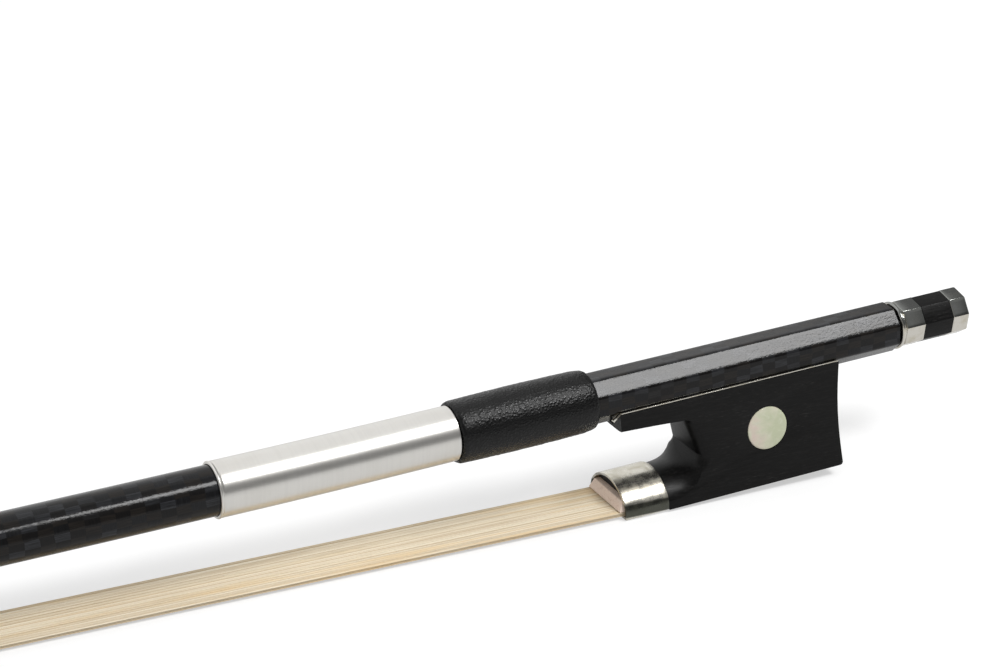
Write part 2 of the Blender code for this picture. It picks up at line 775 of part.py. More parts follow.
def build_frog_body():
    mesh = outline_mesh("frog_body", [frog_outline()], 2 * MM, SIDE)
    taper_cheeks(mesh)
    frog = place("frog_body", mesh, frog_frame, looks["ebony"])

    combine(frog, place("throat_cut", throat_mesh(), frog_frame))

    # The saddle: behind the ferrule the cheeks grow out of the ferrule's own D
    start = ferrule_front + ferrule_length
    rings = []
    for i in range(13):
        share = i / 12
        side = ferrule_side + saddle_side * share ** 4
        height = ferrule_height + saddle_rise * share ** 7
        square = ferrule_curve + saddle_square * share ** 2.5
        outline = d_outline(ferrule_width / 2, side, height, -frog_bottom - 0.5 * MM, square, 24)
        rings.append([(start + saddle_reach * share, u, v) for u, v in outline])
    rings.append([(start + saddle_reach + 1 * MM, u, v) for _, u, v in rings[-1]])
    saddle = place("saddle_keep", loft_mesh("saddle_keep", rings), frog_frame)
    cut_low = (start + 0.02 * MM, -10 * MM, -frog_bottom - 2 * MM)
    cut_high = (start + saddle_reach, 10 * MM, -throat_deepest + saddle_crop)
    shoulder = place("shoulder_cut", block_mesh("shoulder_cut", cut_low, cut_high), frog_frame)
    combine(shoulder, saddle)
    combine(frog, shoulder)

    # The nose that carries the ferrule
    wall = ferrule_wall + sleeve_gap
    nose_bottom = -frog_bottom + hair_exit_height + hair_thickness / 2 + seat_gap + wedge_thickness + seat_gap
    nose_top = -frog_bottom + ferrule_height - wall
    nose_outline = [(u, v) for u, v in d_outline(ferrule_width / 2 - wall, ferrule_side - wall,
                                                 ferrule_height - 2 * wall, -frog_bottom + wall)
                    if v > nose_bottom]
    half = ferrule_width / 2 - wall
    rise = max((nose_bottom + frog_bottom - ferrule_side) / (nose_top + frog_bottom - ferrule_side), 0)
    reach = half * (1 - rise ** ferrule_curve) ** (1 / ferrule_curve)
    nose_outline = [(reach, nose_bottom)] + nose_outline + [(-reach, nose_bottom)]
    nose_length = ferrule_length - frog_nose_setback + 1 * MM
    nose = outline_mesh("frog_nose", [nose_outline], nose_length, ACROSS)
    nose_x = ferrule_front + frog_nose_setback + nose_length / 2
    combine(frog, place("frog_nose", nose, frog_frame, None, (nose_x, 0, 0)), "UNION")

    # The channel for the liner and the stick
    offset = 2 * sleeve_gap + frog_liner_thickness
    right = lower_octagon(offset, 0)
    loop = [right[0], right[1], (right[1][0], 6 * MM), (-right[1][0], 6 * MM), (-right[1][0], right[1][1]),
            (-right[0][0], right[0][1])]
    channel = outline_mesh("channel", [loop], 2 * frog_length, ACROSS)
    combine(frog, place("channel", channel, frog_frame, None, (frog_length / 2, 0, 0)))

    # Holes for the eyelet's stem, the hair's knot, the slide and the hair's channel
    stem = rod_mesh("stem_hole", eyelet_stem + 2 * seat_gap, eyelet_stem_length + 3 * MM)
    down = (0, math.radians(90), 0)
    combine(frog, place("stem_hole", stem, frog_frame, None, (eyelet_station, 0, -2.2 * MM), down))
    low = (frog_mortise_front, -frog_mortise_width / 2, -frog_bottom - 1 * MM)
    high = (frog_mortise_front + frog_mortise_length, frog_mortise_width / 2, -frog_bottom + frog_mortise_depth)
    combine(frog, place("frog_mortise", block_mesh("frog_mortise", low, high), frog_frame))
    depth = slide_base_thickness + pearl_thickness + sleeve_gap
    low = (start - 1 * MM, -slide_width / 2 - sleeve_gap, -frog_bottom - 1 * MM)
    high = (slide_end + sleeve_gap, slide_width / 2 + sleeve_gap, -frog_bottom + depth + sleeve_gap)
    combine(frog, place("slide_way", block_mesh("slide_way", low, high), frog_frame))
    low = (start - 1 * MM, -frog_mortise_width / 2, -frog_bottom + depth - 0.1 * MM)
    high = (frog_mortise_front + 1 * MM, frog_mortise_width / 2, nose_bottom)
    combine(frog, place("hair_channel", block_mesh("hair_channel", low, high), frog_frame))

    # Seats for the pearl eyes and the liner's screws
    for sign, name in ((1, "left"), (-1, "right")):
        disc = rod_mesh("eye_seat_" + name, eye_diameter + 2 * sleeve_gap, eye_thickness + 3 * MM, fine_sides)
        spot, turn = eye_place(sign, eye_thickness + sleeve_gap)
        combine(frog, place("eye_seat_" + name, disc, frog_frame, None, spot, turn))
    for name, station in (("front", liner_screw_front), ("rear", liner_screw_rear)):
        hole = rod_mesh("screw_hole_" + name, liner_screw_shank + 2 * sleeve_gap, 6 * MM, small_sides)
        combine(frog, place("screw_hole_" + name, hole, frog_frame, None, (station, 0, -3 * MM), down))
    return frog


def eye_place(sign, inset):
    """Where an eye's axis enters the cheek, inset below its face, and the turn that points outwards."""
    half = frog_top_width / 2 + (eye_depth - frog_top) * cheek_slope
    lean = math.atan(cheek_slope)
    spot = (eye_station, sign * (half - inset * math.cos(lean)), -eye_depth - inset * math.sin(lean))
    turn = Matrix.Rotation(sign * math.radians(90), 3, "Z")
    tilt = Matrix.Rotation(sign * lean, 3, "X")
    return spot, (tilt @ turn).to_euler()


def build_frog_fittings():
    # Liner: the nickel-silver channel between the frog and the stick
    inner = lower_octagon(sleeve_gap, frog_top)
    outer = lower_octagon(sleeve_gap + frog_liner_thickness, frog_top)
    side = frog_top_width / 2
    drop = outer[1][1] - (outer[1][0] - side)
    loop = [outer[0], (side, drop), (side, -frog_top), inner[1], inner[0]]
    loop += [(-u, v) for u, v in reversed(loop)]
    liner_mesh = outline_mesh("frog_liner", [loop], frog_length - 0.4 * MM, ACROSS)
    liner = place("frog_liner", liner_mesh, frog_frame, looks["silver"], (frog_length / 2, 0, 0))
    half_length, half_width = liner_opening_length / 2, liner_opening_width / 2
    opening = block_mesh("liner_opening", (eyelet_station - half_length, -half_width, -handle_flats),
                         (eyelet_station + half_length, half_width, 0))
    combine(liner, place("liner_opening", opening, frog_frame))
    flat = handle_flats / 2
    for name, station in (("front", liner_screw_front), ("rear", liner_screw_rear)):
        down = (0, math.radians(90), 0)
        hole = rod_mesh("liner_hole_" + name, liner_screw_shank + 2 * sleeve_gap, 4 * MM, small_sides)
        combine(liner, place("liner_hole_" + name, hole, frog_frame, None, (station, 0, -flat + 1 * MM), down))
        shank = rod_mesh("liner_screw_" + name, liner_screw_shank, liner_screw_length, small_sides)
        spot = (station, 0, -flat - sleeve_gap)
        place("liner_screw_" + name, shank, frog_frame, looks["brass"], spot, down)

    # Eyelet: a ring on the screw and a stem in the frog
    length = eyelet_width
    bore = screw_diameter / 2 + seat_gap
    outer = eyelet_ring / 2
    profile = [(-length / 2, outer), (-length / 2, bore), (length / 2, bore), (length / 2, outer)]
    ring = place("eyelet", turned_mesh("eyelet", profile), frog_frame, looks["brass"], (eyelet_station, 0, 0))
    stem_top = -(bore + eyelet_ring / 2) / 2
    stem_end = -flat - eyelet_stem_length + 2 * MM
    stem = rod_mesh("eyelet_stem", eyelet_stem, stem_top - stem_end)
    down = (0, math.radians(90), 0)
    combine(ring, place("eyelet_stem", stem, frog_frame, None, (eyelet_station, 0, stem_top), down), "UNION")

    # Pearl eyes
    for sign, name in ((1, "left"), (-1, "right")):
        disc = rod_mesh("pearl_eye_" + name, eye_diameter, eye_thickness, fine_sides)
        spot, turn = eye_place(sign, eye_thickness)
        place("pearl_eye_" + name, disc, frog_frame, looks["pearl"], spot, turn)

    # Slide: pearl on a wooden base, let into the underside
    start = ferrule_front + ferrule_length + seat_gap
    half = slide_width / 2
    base_low = -frog_bottom + pearl_thickness + sleeve_gap
    base = block_mesh("slide_base", (start, -half, base_low), (slide_end, half, base_low + slide_base_thickness))
    place("slide_base", base, frog_frame, looks["ebony"])
    pearl = block_mesh("pearl_slide", (start, -half, -frog_bottom),
                       (slide_end, half, -frog_bottom + pearl_thickness))
    place("pearl_slide", pearl, frog_frame, looks["pearl"])


def build_ferrule():
    outer = d_outline(ferrule_width / 2, ferrule_side, ferrule_height, -frog_bottom)
    inner = d_outline(ferrule_width / 2 - ferrule_wall, ferrule_side - ferrule_wall,
                      ferrule_height - 2 * ferrule_wall, -frog_bottom + ferrule_wall)
    mesh = outline_mesh("ferrule", [outer, inner], ferrule_length, ACROSS)
    place("ferrule", mesh, frog_frame, looks["silver"], (ferrule_front + ferrule_length / 2, 0, 0))

    low = -frog_bottom + hair_exit_height + hair_thickness / 2 + seat_gap
    high = low + wedge_thickness
    half = ferrule_width / 2 - ferrule_wall - seat_gap
    top_share = (high + frog_bottom - ferrule_side) / (ferrule_height - ferrule_wall - ferrule_side)
    narrow = half * (1 - top_share ** ferrule_curve) ** (1 / ferrule_curve)
    # The wedge's front face leans out over the hair
    foot = half - seat_gap
    front = ferrule_front - wedge_lean
    rings = []
    for foot_x, top_x in ((front, front + wedge_lean), (front + wedge_length, front + wedge_length)):
        rings.append([(foot_x, -foot, low), (foot_x, foot, low), (top_x, narrow, high), (top_x, -narrow, high)])
    place("spread_wedge", loft_mesh("spread_wedge", rings), frog_frame, looks["wood"])


def build_frog_fill():
    """The bound end of the hair, its flat tail through the ferrule, and the plug that locks it."""
    depth = slide_base_thickness + pearl_thickness + sleeve_gap
    front, rear = frog_mortise_front + seat_gap, frog_mortise_front + frog_mortise_length - seat_gap
    ceiling = -frog_bottom + frog_mortise_depth - seat_gap
    floor = ceiling - 2.6 * MM
    tail_low = -frog_bottom + depth + seat_gap
    tail_high = tail_low + hair_thickness * 0.8
    exit_z = -frog_bottom + hair_exit_height
    tail_end = ferrule_front + 1 * MM + seat_gap
    kink = ferrule_front + ferrule_length
    wedge_rear = ferrule_front - wedge_lean + wedge_length + seat_gap
    half_tail = hair_thickness * 0.4
    side = [(front, ceiling), (front, tail_high), (kink, tail_high), (wedge_rear, exit_z + half_tail),
            (tail_end, exit_z + half_tail), (tail_end, exit_z - half_tail), (wedge_rear, exit_z - half_tail),
            (kink, tail_low), (front + 1.3 * MM, tail_low), (front + 1.3 * MM, floor), (rear, floor),
            (rear, ceiling)]
    width = frog_mortise_width - 2 * seat_gap
    place("frog_knot", outline_mesh("frog_knot", [side], width, SIDE), frog_frame, looks["hair"])
    plug_low = (front + 1.3 * MM + seat_gap, -width / 2, tail_low - seat_gap + sleeve_gap)
    plug = block_mesh("frog_plug", plug_low, (rear, width / 2, floor - seat_gap))
    place("frog_plug", plug, frog_frame, looks["wood"])


def build_screw():
    shaft = screw_diameter / 2
    nose = screw_nose_diameter / 2
    shoulder = screw_front + screw_nose_length
    end = button_end - cap_thickness - seat_gap
    profile = [(screw_front, 0), (end, 0), (end, shaft), (shoulder, shaft), (shoulder - screw_taper, nose),
               (screw_front, nose)]
    place("screw_shaft", turned_mesh("screw_shaft", profile), screw_frame, looks["steel"])

    # Bushes that carry the screw in the stick
    outer = stick_bore / 2 - seat_gap
    bushes = (("nose_bush", nose_bush_front, nose_bush_length, nose),
              ("butt_bush", handle_rear - bush_length, bush_length, shaft))
    for name, front, length, inner in bushes:
        bore = inner + seat_gap
        ring = [(front, outer), (front, bore), (front + length, bore), (front + length, outer)]
        place(name, turned_mesh(name, ring), handle, looks["brass"])


def octagon_tube(name, length, bore, station, look):
    hole = circle(bore / 2, 4, 6)
    mesh = outline_mesh(name, [octagon(button_flats, button_corner), hole], length - sleeve_gap, ACROSS)
    return place(name, mesh, screw_frame, looks[look], (station + length / 2, 0, 0))


def build_button():
    shaft_hole = screw_diameter / 2 + sleeve_gap
    ring_start = button_start + bead_length
    front = octagon_tube("button_ring_front", front_ring_length, ring_bore, ring_start, "silver")
    bead = []
    for i in range(9):
        angle = math.pi * i / 8
        swell = bead_diameter / 2 - bead_length / 2 + bead_length / 2 * math.sin(angle)
        bead.append((button_start + bead_length / 2 * (1 - math.cos(angle)) + 0.1 * MM, swell))
    bore = ring_bore / 2 - 0.1 * MM
    bead += [(button_start + bead_length + 0.1 * MM, bore), (button_start + 0.1 * MM, bore)]
    combine(front, place("bead_collar", turned_mesh("bead_collar", bead), screw_frame), "UNION")

    core_start = ring_start + front_ring_length
    rear_start = core_start + core_length
    core_mesh = outline_mesh("button_core", [octagon(button_flats - 0.1 * MM, button_corner)],
                             core_length - sleeve_gap, ACROSS)
    core = place("button_core", core_mesh, screw_frame, looks["ebony"], (core_start + core_length / 2, 0, 0))
    neck_start = button_start + 0.3 * MM
    neck_end = rear_start + rear_ring_length - cap_thickness - seat_gap
    neck = rod_mesh("core_neck", ring_bore - 2 * seat_gap, neck_end - neck_start)
    combine(core, place("core_neck", neck, screw_frame, None, (neck_start, 0, 0)), "UNION")
    hole = rod_mesh("core_hole", 2 * shaft_hole, 30 * MM)
    combine(core, place("core_hole", hole, screw_frame, None, (neck_start - 5 * MM, 0, 0)))

    octagon_tube("button_ring_rear", rear_ring_length, ring_bore, rear_start, "silver")
    cap = rod_mesh("button_cap", ring_bore - 2 * sleeve_gap, cap_thickness - sleeve_gap)
    cap_start = rear_start + rear_ring_length - cap_thickness
    place("button_cap", cap, screw_frame, looks["silver"], (cap_start, 0, 0))


build_stick()
build_tip_plate()
build_head_fill()
build_hair()
build_lapping()
build_frog_body()
build_frog_fittings()
build_ferrule()
build_frog_fill()
build_screw()
build_button()
bpy.context.view_layer.update()
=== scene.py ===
"""Violin bow with a carbon-fibre stick, dressed and lit for its photograph's lower close-up.

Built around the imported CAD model, in metres. +X runs from the head's nose to the button, and +Z from the
hair to the stick. The handle frame starts on the stick's axis above the frog's front, with +X towards the
button.
"""
import json
import math
import random

import bmesh
import bpy
import numpy as np
from mathutils import Matrix, Vector, noise


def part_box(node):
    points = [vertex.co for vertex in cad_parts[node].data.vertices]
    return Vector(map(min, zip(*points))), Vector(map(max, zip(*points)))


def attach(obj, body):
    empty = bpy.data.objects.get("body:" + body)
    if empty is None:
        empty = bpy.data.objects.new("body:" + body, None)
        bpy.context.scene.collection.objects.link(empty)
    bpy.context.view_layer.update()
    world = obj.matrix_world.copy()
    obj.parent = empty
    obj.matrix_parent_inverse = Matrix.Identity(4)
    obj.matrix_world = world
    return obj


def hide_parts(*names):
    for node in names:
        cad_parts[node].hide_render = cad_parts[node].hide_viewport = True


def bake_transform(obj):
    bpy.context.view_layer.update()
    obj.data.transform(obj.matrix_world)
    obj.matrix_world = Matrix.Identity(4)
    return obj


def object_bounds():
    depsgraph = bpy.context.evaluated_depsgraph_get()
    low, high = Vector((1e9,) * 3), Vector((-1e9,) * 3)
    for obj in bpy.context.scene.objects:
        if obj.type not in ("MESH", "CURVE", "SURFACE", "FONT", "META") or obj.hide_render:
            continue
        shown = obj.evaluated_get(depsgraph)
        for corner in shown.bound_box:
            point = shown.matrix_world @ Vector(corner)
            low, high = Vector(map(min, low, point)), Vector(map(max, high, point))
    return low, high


MM = 0.001

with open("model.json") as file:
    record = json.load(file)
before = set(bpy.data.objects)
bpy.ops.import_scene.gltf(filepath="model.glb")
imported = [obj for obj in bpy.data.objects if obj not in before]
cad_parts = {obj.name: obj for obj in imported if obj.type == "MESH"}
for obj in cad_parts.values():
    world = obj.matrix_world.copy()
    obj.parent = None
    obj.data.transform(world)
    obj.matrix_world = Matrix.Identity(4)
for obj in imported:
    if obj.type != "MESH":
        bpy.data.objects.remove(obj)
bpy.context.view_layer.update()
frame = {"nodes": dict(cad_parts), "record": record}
nodes = frame["nodes"]
rng = random.Random(7)

# The handle frame, from the screw's joint
screw = next(j for j in frame["record"]["behaviour"]["joints"] if j["name"] == "screw_turn")
handle_x, _, handle_z = screw["pos_m"]
handle_tilt = math.atan2(-screw["axis"][2], -screw["axis"][0])
HANDLE = Matrix.Translation((handle_x, 0, handle_z)) @ Matrix.Rotation(-handle_tilt, 4, "Y")
TO_HANDLE = HANDLE.inverted()

# Stick, as in the CAD
handle_flats = 8.3 * MM
handle_corner = 0.8 * MM
handle_rear = 56.6 * MM
handle_front = -26 * MM
round_start = -32 * MM
handle_round = 8.55 * MM
end_chamfer = 0.3 * MM
bend_start = -45 * MM
camber_start = -65 * MM
bend_turn = 0.0125
neck_diameter = 5.3 * MM
neck_height = 17.1 * MM
neck_slope = math.radians(-2.8)
neck_station = 30 * MM
taper_power = 1.25
stick_bore = 5.5 * MM
stick_wall = 1.5 * MM
weave_block = (2.5, 1.3)  # millimetres along and round the stick

# Head, as in the CAD
nose_start = 1.2 * MM
plate_end = 24 * MM
plate_width = 10.6 * MM
plate_nose_width = 3.4 * MM
plate_thickness = 1 * MM
nose_rise = 4.2 * MM
nose_power = 1.8
plate_width_reach = 14 * MM
liner_thickness = 0.25 * MM
layer_gap = 0.05 * MM
throat_start = 24.2 * MM
throat_radius = 3.2 * MM
ridge_half = 0.3 * MM
ridge_top = 13.6 * MM
ridge_drop = 0.65 * MM
ridge_power = 2.65
neck_level = 20 * MM
head_round_start = 15 * MM
nose_edge = 0.8 * MM
cheek_edge = 0.25 * MM
cheek_start = 5 * MM
cheek_power = 4.8
back_chamfer = 1.5 * MM
window_front = 13.9 * MM
window_back = 20.6 * MM
window_width = 7.6 * MM
mortise_depth = 7 * MM
head_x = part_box("tip_plate")[0][0] - nose_start

# Lapping, grip and clearances
seat_gap = 0.2 * MM
sleeve_gap = 0.1 * MM
winding_front = -72 * MM
winding_rear = -29.6 * MM
winding_wall = 0.35 * MM
wire_pitch = 0.3 * MM
grip_front = -29.3 * MM
grip_rear = -4 * MM
grip_wall = 0.75 * MM
grip_bulge = 0.15 * MM
grip_edge = 0.35 * MM

# Frog end
frog_bottom = 21.25 * MM
ferrule_front = -0.15 * MM
ferrule_length = 8.4 * MM
ferrule_width = 13.3 * MM
ferrule_height = 5.85 * MM
ferrule_side = 1.05 * MM
ferrule_curve = 1.85
ferrule_wall = 0.5 * MM
ferrule_corner = 0.45 * MM
eye_diameter = 7.8 * MM
eye_dome = 0.12 * MM
slot_front, slot_rear, slot_width = 16.9 * MM, 30.6 * MM, 3.6 * MM
hair_exit_height = 0.87 * MM
hair_thickness = 0.7 * MM
hair_head_thickness = 0.55 * MM
hair_clearance = 0.08 * MM
hair_head_width = 8.9 * MM
hair_frog_width = 11.6 * MM
strand_diameter = 0.19 * MM
hair_layers = 3
hairs_per_layer = 62

# Button
button_flats = 7.85 * MM
button_corner = 0.22 * MM
button_turn = math.radians(12)
button_start = 56.9 * MM
bead_length = 1 * MM
bead_diameter = 8.6 * MM
front_ring_length = 3.9 * MM
core_length = 5.9 * MM
rear_ring_length = 3.5 * MM
ring_bore = 6.5 * MM
button_chamfer = 0.09 * MM
rear_round = 0.5 * MM

# Resolution of the finer skins
arc_steps = 4
flat_steps = 5
ring_count = 8 * (arc_steps + flat_steps)
handle_rings = 22
stick_rings = 90
head_rings = 30
bore_rings = 40
grip_rings = 120
arch_steps = 56
round_sides = 72
eye_sides = 96
core_sides = 40
strand_sides = 5


# Mesh helpers
def add_object(name, data):
    """A new object, put in the scene."""
    made = bpy.data.objects.new(name, data)
    bpy.context.scene.collection.objects.link(made)
    return made


def smooth(mesh, angle):
    """Shade a mesh smooth, but for edges sharper than an angle in degrees."""
    mesh.shade_smooth()
    mesh.set_sharp_from_angle(angle=math.radians(angle))


def link(name, mesh, look, smooth_angle):
    """Link a finished mesh as a piece, give it its look, and smooth it up to an angle."""
    piece = add_object(name, mesh)
    for surface in look if isinstance(look, (list, tuple)) else [look]:
        mesh.materials.append(surface)
    smooth(mesh, smooth_angle)
    return piece


def to_mesh(form, name):
    bmesh.ops.recalc_face_normals(form, faces=form.faces)
    mesh = bpy.data.meshes.new(name)
    form.to_mesh(mesh)
    form.free()
    return mesh


def loft(rings, rows=None, columns=None, wrap_rows=False):
    """Skin rings of equal length, closed at both ends, or joined end to end with wrap_rows.

    rows and columns, in millimetres, give the weave's coordinates.
    """
    form = bmesh.new()
    grid = [[form.verts.new(point) for point in ring] for ring in rings]
    count = len(grid[0])
    layer = form.loops.layers.uv.new("weave") if rows is not None else None
    pairs = list(zip(range(len(grid)), range(1, len(grid))))
    if wrap_rows:
        pairs.append((len(grid) - 1, 0))
    for near, far in pairs:
        for i in range(count):
            j = (i + 1) % count
            face = form.faces.new((grid[near][i], grid[near][j], grid[far][j], grid[far][i]))
            if layer is not None:
                edge = i + 1
                values = ((near, i), (near, edge), (far, edge), (far, i))
                for loop, (row, column) in zip(face.loops, values):
                    loop[layer].uv = (rows[row], columns[row][column])
    if not wrap_rows:
        form.faces.new(grid[0])
        form.faces.new(grid[-1])
    return form


def moved(points, matrix):
    return [tuple(matrix @ Vector(point)) for point in points]


def angles(count):
    """Evenly spaced angles round a whole turn."""
    return [math.tau * k / count for k in range(count)]


def block(low, high, matrix):
    """A cutter's box, given in its own frame."""
    form = bmesh.new()
    bmesh.ops.create_cube(form, size=1)
    for vert in form.verts:
        vert.co = [a + (b - a) * (c + 0.5) for a, b, c in zip(low, high, vert.co)]
    bmesh.ops.transform(form, matrix=matrix, verts=form.verts)
    return to_mesh(form, "cut")


def carve(piece, cutters):
    """Take the cutters' meshes away from a piece, and keep the result as its own mesh."""
    helpers = [add_object("cut", mesh) for mesh in cutters]
    for helper in helpers:
        change = piece.modifiers.new("cut", "BOOLEAN")
        change.operation = "DIFFERENCE"
        change.solver = "MANIFOLD"
        change.object = helper
    bpy.context.view_layer.update()
    seen = piece.evaluated_get(bpy.context.evaluated_depsgraph_get())
    result = bpy.data.meshes.new_from_object(seen)
    piece.modifiers.clear()
    piece.data = result
    for helper in helpers:
        bpy.data.objects.remove(helper, do_unlink=True)


def rework(node, look, bevel, segments=2, flat=0.6, angle=35):
    """A copy of a CAD node with its faces joined up again, so that its edges can be softened."""
    form = bmesh.new()
    form.from_mesh(nodes[node].data)
    bmesh.ops.remove_doubles(form, verts=form.verts, dist=0.003 * MM)
    bmesh.ops.dissolve_limit(form, angle_limit=math.radians(flat), verts=form.verts, edges=form.edges)
    piece = link(node + "_finished", to_mesh(form, node), look, angle)
    if bevel:
        change = piece.modifiers.new("edges", "BEVEL")
        change.width, change.segments = bevel, segments
        change.limit_method = "ANGLE"
        change.angle_limit = math.radians(30)
    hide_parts(node)
    return piece


# Node helpers
class Nodes:
    """A node tree, with one call for each node."""

    def __init__(self, tree):
        self.tree = tree

    def put(self, node, values):
        """Set a node's sockets, or link them."""
        for key, value in values.items():
            if isinstance(value, bpy.types.NodeSocket):
                self.tree.links.new(value, node.inputs[key])
            else:
                node.inputs[key].default_value = value

    def node(self, kind, values=None, **settings):
        made = self.tree.nodes.new("ShaderNode" + kind)
        for key, value in settings.items():
            setattr(made, key, value)
        self.put(made, values or {})
        return made

    def math(self, operation, a, b=0.0):
        return self.node("Math", {0: a, 1: b}, operation=operation).outputs[0]

    def blend(self, share, first, second):
        """A mix of two numbers."""
        return self.node("Mix", {"Factor": share, 2: first, 3: second}).outputs[0]

    def mix(self, share, first, second):
        """A mix of two colours."""
        made = self.node("Mix", {"Factor": share}, data_type="RGBA")
        for index, value in ((6, first), (7, second)):
            self.put(made, {index: value if isinstance(value, bpy.types.NodeSocket) else (*value, 1)})
        return made.outputs[2]

    def part(self, vector, axis):
        """A vector's X, Y or Z, for axis 0, 1 or 2."""
        return self.node("SeparateXYZ", {0: vector}).outputs[axis]

    def facing(self, axis):
        """How far a face looks along the object's own X, Y or Z."""
        return self.part(self.node("TexCoord").outputs["Normal"], axis)

    def stretch(self, vector, scale, turn=(0, 0, 0)):
        return self.node("Mapping", {"Vector": vector, "Rotation": turn, "Scale": scale}).outputs[0]

    def place(self, scale=(1, 1, 1), turn=(0, 0, 0)):
        """Object coordinates in millimetres, stretched by scale."""
        size = tuple(1000 * value for value in scale)
        return self.stretch(self.node("TexCoord").outputs["Object"], size, turn)

    def noise(self, vector, scale, detail=3.0, rough=0.5, distortion=0.0):
        return self.node("TexNoise", {"Vector": vector, "Scale": scale, "Detail": detail,
                                      "Roughness": rough, "Distortion": distortion}).outputs["Fac"]

    def span(self, value, low, high, to_low=0.0, to_high=1.0):
        return self.node("MapRange", {"Value": value, "From Min": low, "From Max": high,
                                      "To Min": to_low, "To Max": to_high},
                         interpolation_type="SMOOTHSTEP").outputs[0]


class Shader(Nodes):
    """A material's nodes, round its own surface."""

    def __init__(self, name, color, roughness, metallic=0.0, **constants):
        self.material = bpy.data.materials.new(name)
        self.material.use_nodes = True
        super().__init__(self.material.node_tree)
        self.surface = self.tree.nodes["Principled BSDF"]
        self.drive(Base_Color=(*color, 1), Roughness=roughness, Metallic=metallic, **constants)

    def drive(self, **values):
        """Set or link the surface's own sockets."""
        self.put(self.surface, {key.replace("_", " "): value for key, value in values.items()})

    def bump(self, height, strength, distance, onto="Normal"):
        made = self.node("Bump", {"Height": height, "Strength": strength, "Distance": distance})
        self.tree.links.new(made.outputs[0], self.surface.inputs[onto])


def carbon_weave():
    """Clear-coated woven carbon: blocks of fibre that catch the light a little differently."""
    made = Shader("carbon_weave", (0.012, 0.012, 0.013), 0.4, Specular_IOR_Level=0.04, Coat_Weight=1.0,
                  Coat_Roughness=0.045, Coat_IOR=1.28)
    uv = made.node("UVMap", uv_map="weave").outputs[0]
    drift = made.noise(made.stretch(uv, (0.12, 0.3, 1)), 1.0, 2)
    along, around = (made.math("DIVIDE", made.math("ADD", made.part(uv, axis), drift), size)
                     for axis, size in enumerate(weave_block))
    column, row = made.math("FLOOR", along), made.math("FLOOR", around)
    cell = made.node("CombineXYZ", {0: column, 1: row}).outputs[0]
    chance = made.node("TexWhiteNoise", {"Vector": cell}).outputs["Value"]
    odd = made.math("FRACT", made.math("MULTIPLY", made.math("ADD", column, row), 0.5))
    warp = made.math("MULTIPLY", odd, 2.0)
    lengthways = made.noise(made.stretch(uv, (0.3, 8, 1)), 1.0, 3)
    crossways = made.noise(made.stretch(uv, (8, 0.3, 1)), 1.0, 3)
    fibre = made.blend(warp, lengthways, crossways)
    grey = made.mix(made.span(chance, 0.2, 0.9), (0.003, 0.003, 0.0035), (0.030, 0.031, 0.035))
    tint = made.mix(made.span(chance, 0.62, 0.5), grey, (0.016, 0.013, 0.011))
    light = made.mix(made.span(fibre, 0.35, 0.7, 0.7, 0), tint, (0.004, 0.004, 0.004))
    base = made.mix(made.math("MULTIPLY", warp, 0.7), light, (0.003, 0.003, 0.0035))
    made.drive(Base_Color=base, Roughness=made.span(fibre, 0.2, 0.8, 0.3, 0.45))
    edge_u, edge_v = (made.math("ABSOLUTE", made.math("SUBTRACT", made.math("FRACT", spot), 0.5))
                      for spot in (along, around))
    groove = made.span(made.math("MAXIMUM", edge_u, edge_v), 0.44, 0.5, 1, 0)
    made.bump(made.math("ADD", made.math("MULTIPLY", fibre, 0.3), groove), 0.25, 0.02 * MM)
    peel = made.noise(made.stretch(uv, (0.9, 1.6, 1)), 1.6, 4, 0.6)
    made.bump(peel, 0.6, 0.03 * MM, "Coat Normal")
    return made.material


def carbon_head():
    """Moulded carbon of the head: black, with a painted reflection that greys its cheeks in brushed satin
    streaks.
    """
    made = Shader("carbon_head", (0.012, 0.012, 0.013), 0.36, Specular_IOR_Level=0.25, Coat_Weight=0.5,
                  Coat_Roughness=0.16, Coat_IOR=1.3)
    streaks = made.noise(made.place((0.5, 6, 4)), 1.0, 5, 0.6)
    clouds = made.noise(made.place((0.35, 0.35, 0.35)), 1.0, 3)
    # Painted reflection: this grey goes only on the faces that look sideways, the cheeks
    cheek_reflection = made.mix(made.span(streaks, 0.35, 0.7), (0.080, 0.080, 0.083), (0.160, 0.160, 0.166))
    cheek_reflection = made.mix(made.span(clouds, 0.4, 0.7, 0, 0.5), cheek_reflection, (0.060, 0.060, 0.063))
    side = made.math("ABSOLUTE", made.facing(1))
    base = made.mix(made.span(side, 0.75, 0.97), (0.010, 0.010, 0.0105), cheek_reflection)
    made.drive(Base_Color=base, Roughness=made.math("ADD", made.span(clouds, 0.3, 0.7, 0.24, 0.34),
                                                    made.math("MULTIPLY", streaks, 0.12)))
    made.bump(streaks, 0.3, 0.02 * MM)
    return made.material


def ebony():
    """Oiled ebony: near black, satin, with fine pores along the grain."""
    made = Shader("ebony_oiled", (0.005, 0.005, 0.0048), 0.36, Specular_IOR_Level=0.16)
    grain = made.noise(made.place((0.35, 4, 5)), 1.0, 6, 0.62, 0.3)
    pores = made.noise(made.place((0.7, 9, 11)), 1.0, 2, 0.5)
    bands = made.noise(made.place((0.05, 0.35, 0.45)), 1.0, 3)
    pore = made.span(pores, 0.6, 0.74)
    base = made.mix(made.span(grain, 0.42, 0.72), (0.0035, 0.0034, 0.0033), (0.0085, 0.0082, 0.0080))
    pitted = made.math("MULTIPLY", pore, made.span(bands, 0.42, 0.62, 0.15, 1))
    base = made.mix(pitted, base, (0.030, 0.029, 0.028))
    made.drive(Base_Color=base, Roughness=made.span(grain, 0.3, 0.7, 0.30, 0.42))
    made.bump(made.math("SUBTRACT", made.math("MULTIPLY", grain, 0.5), pore), 0.35, 0.02 * MM)
    return made.material


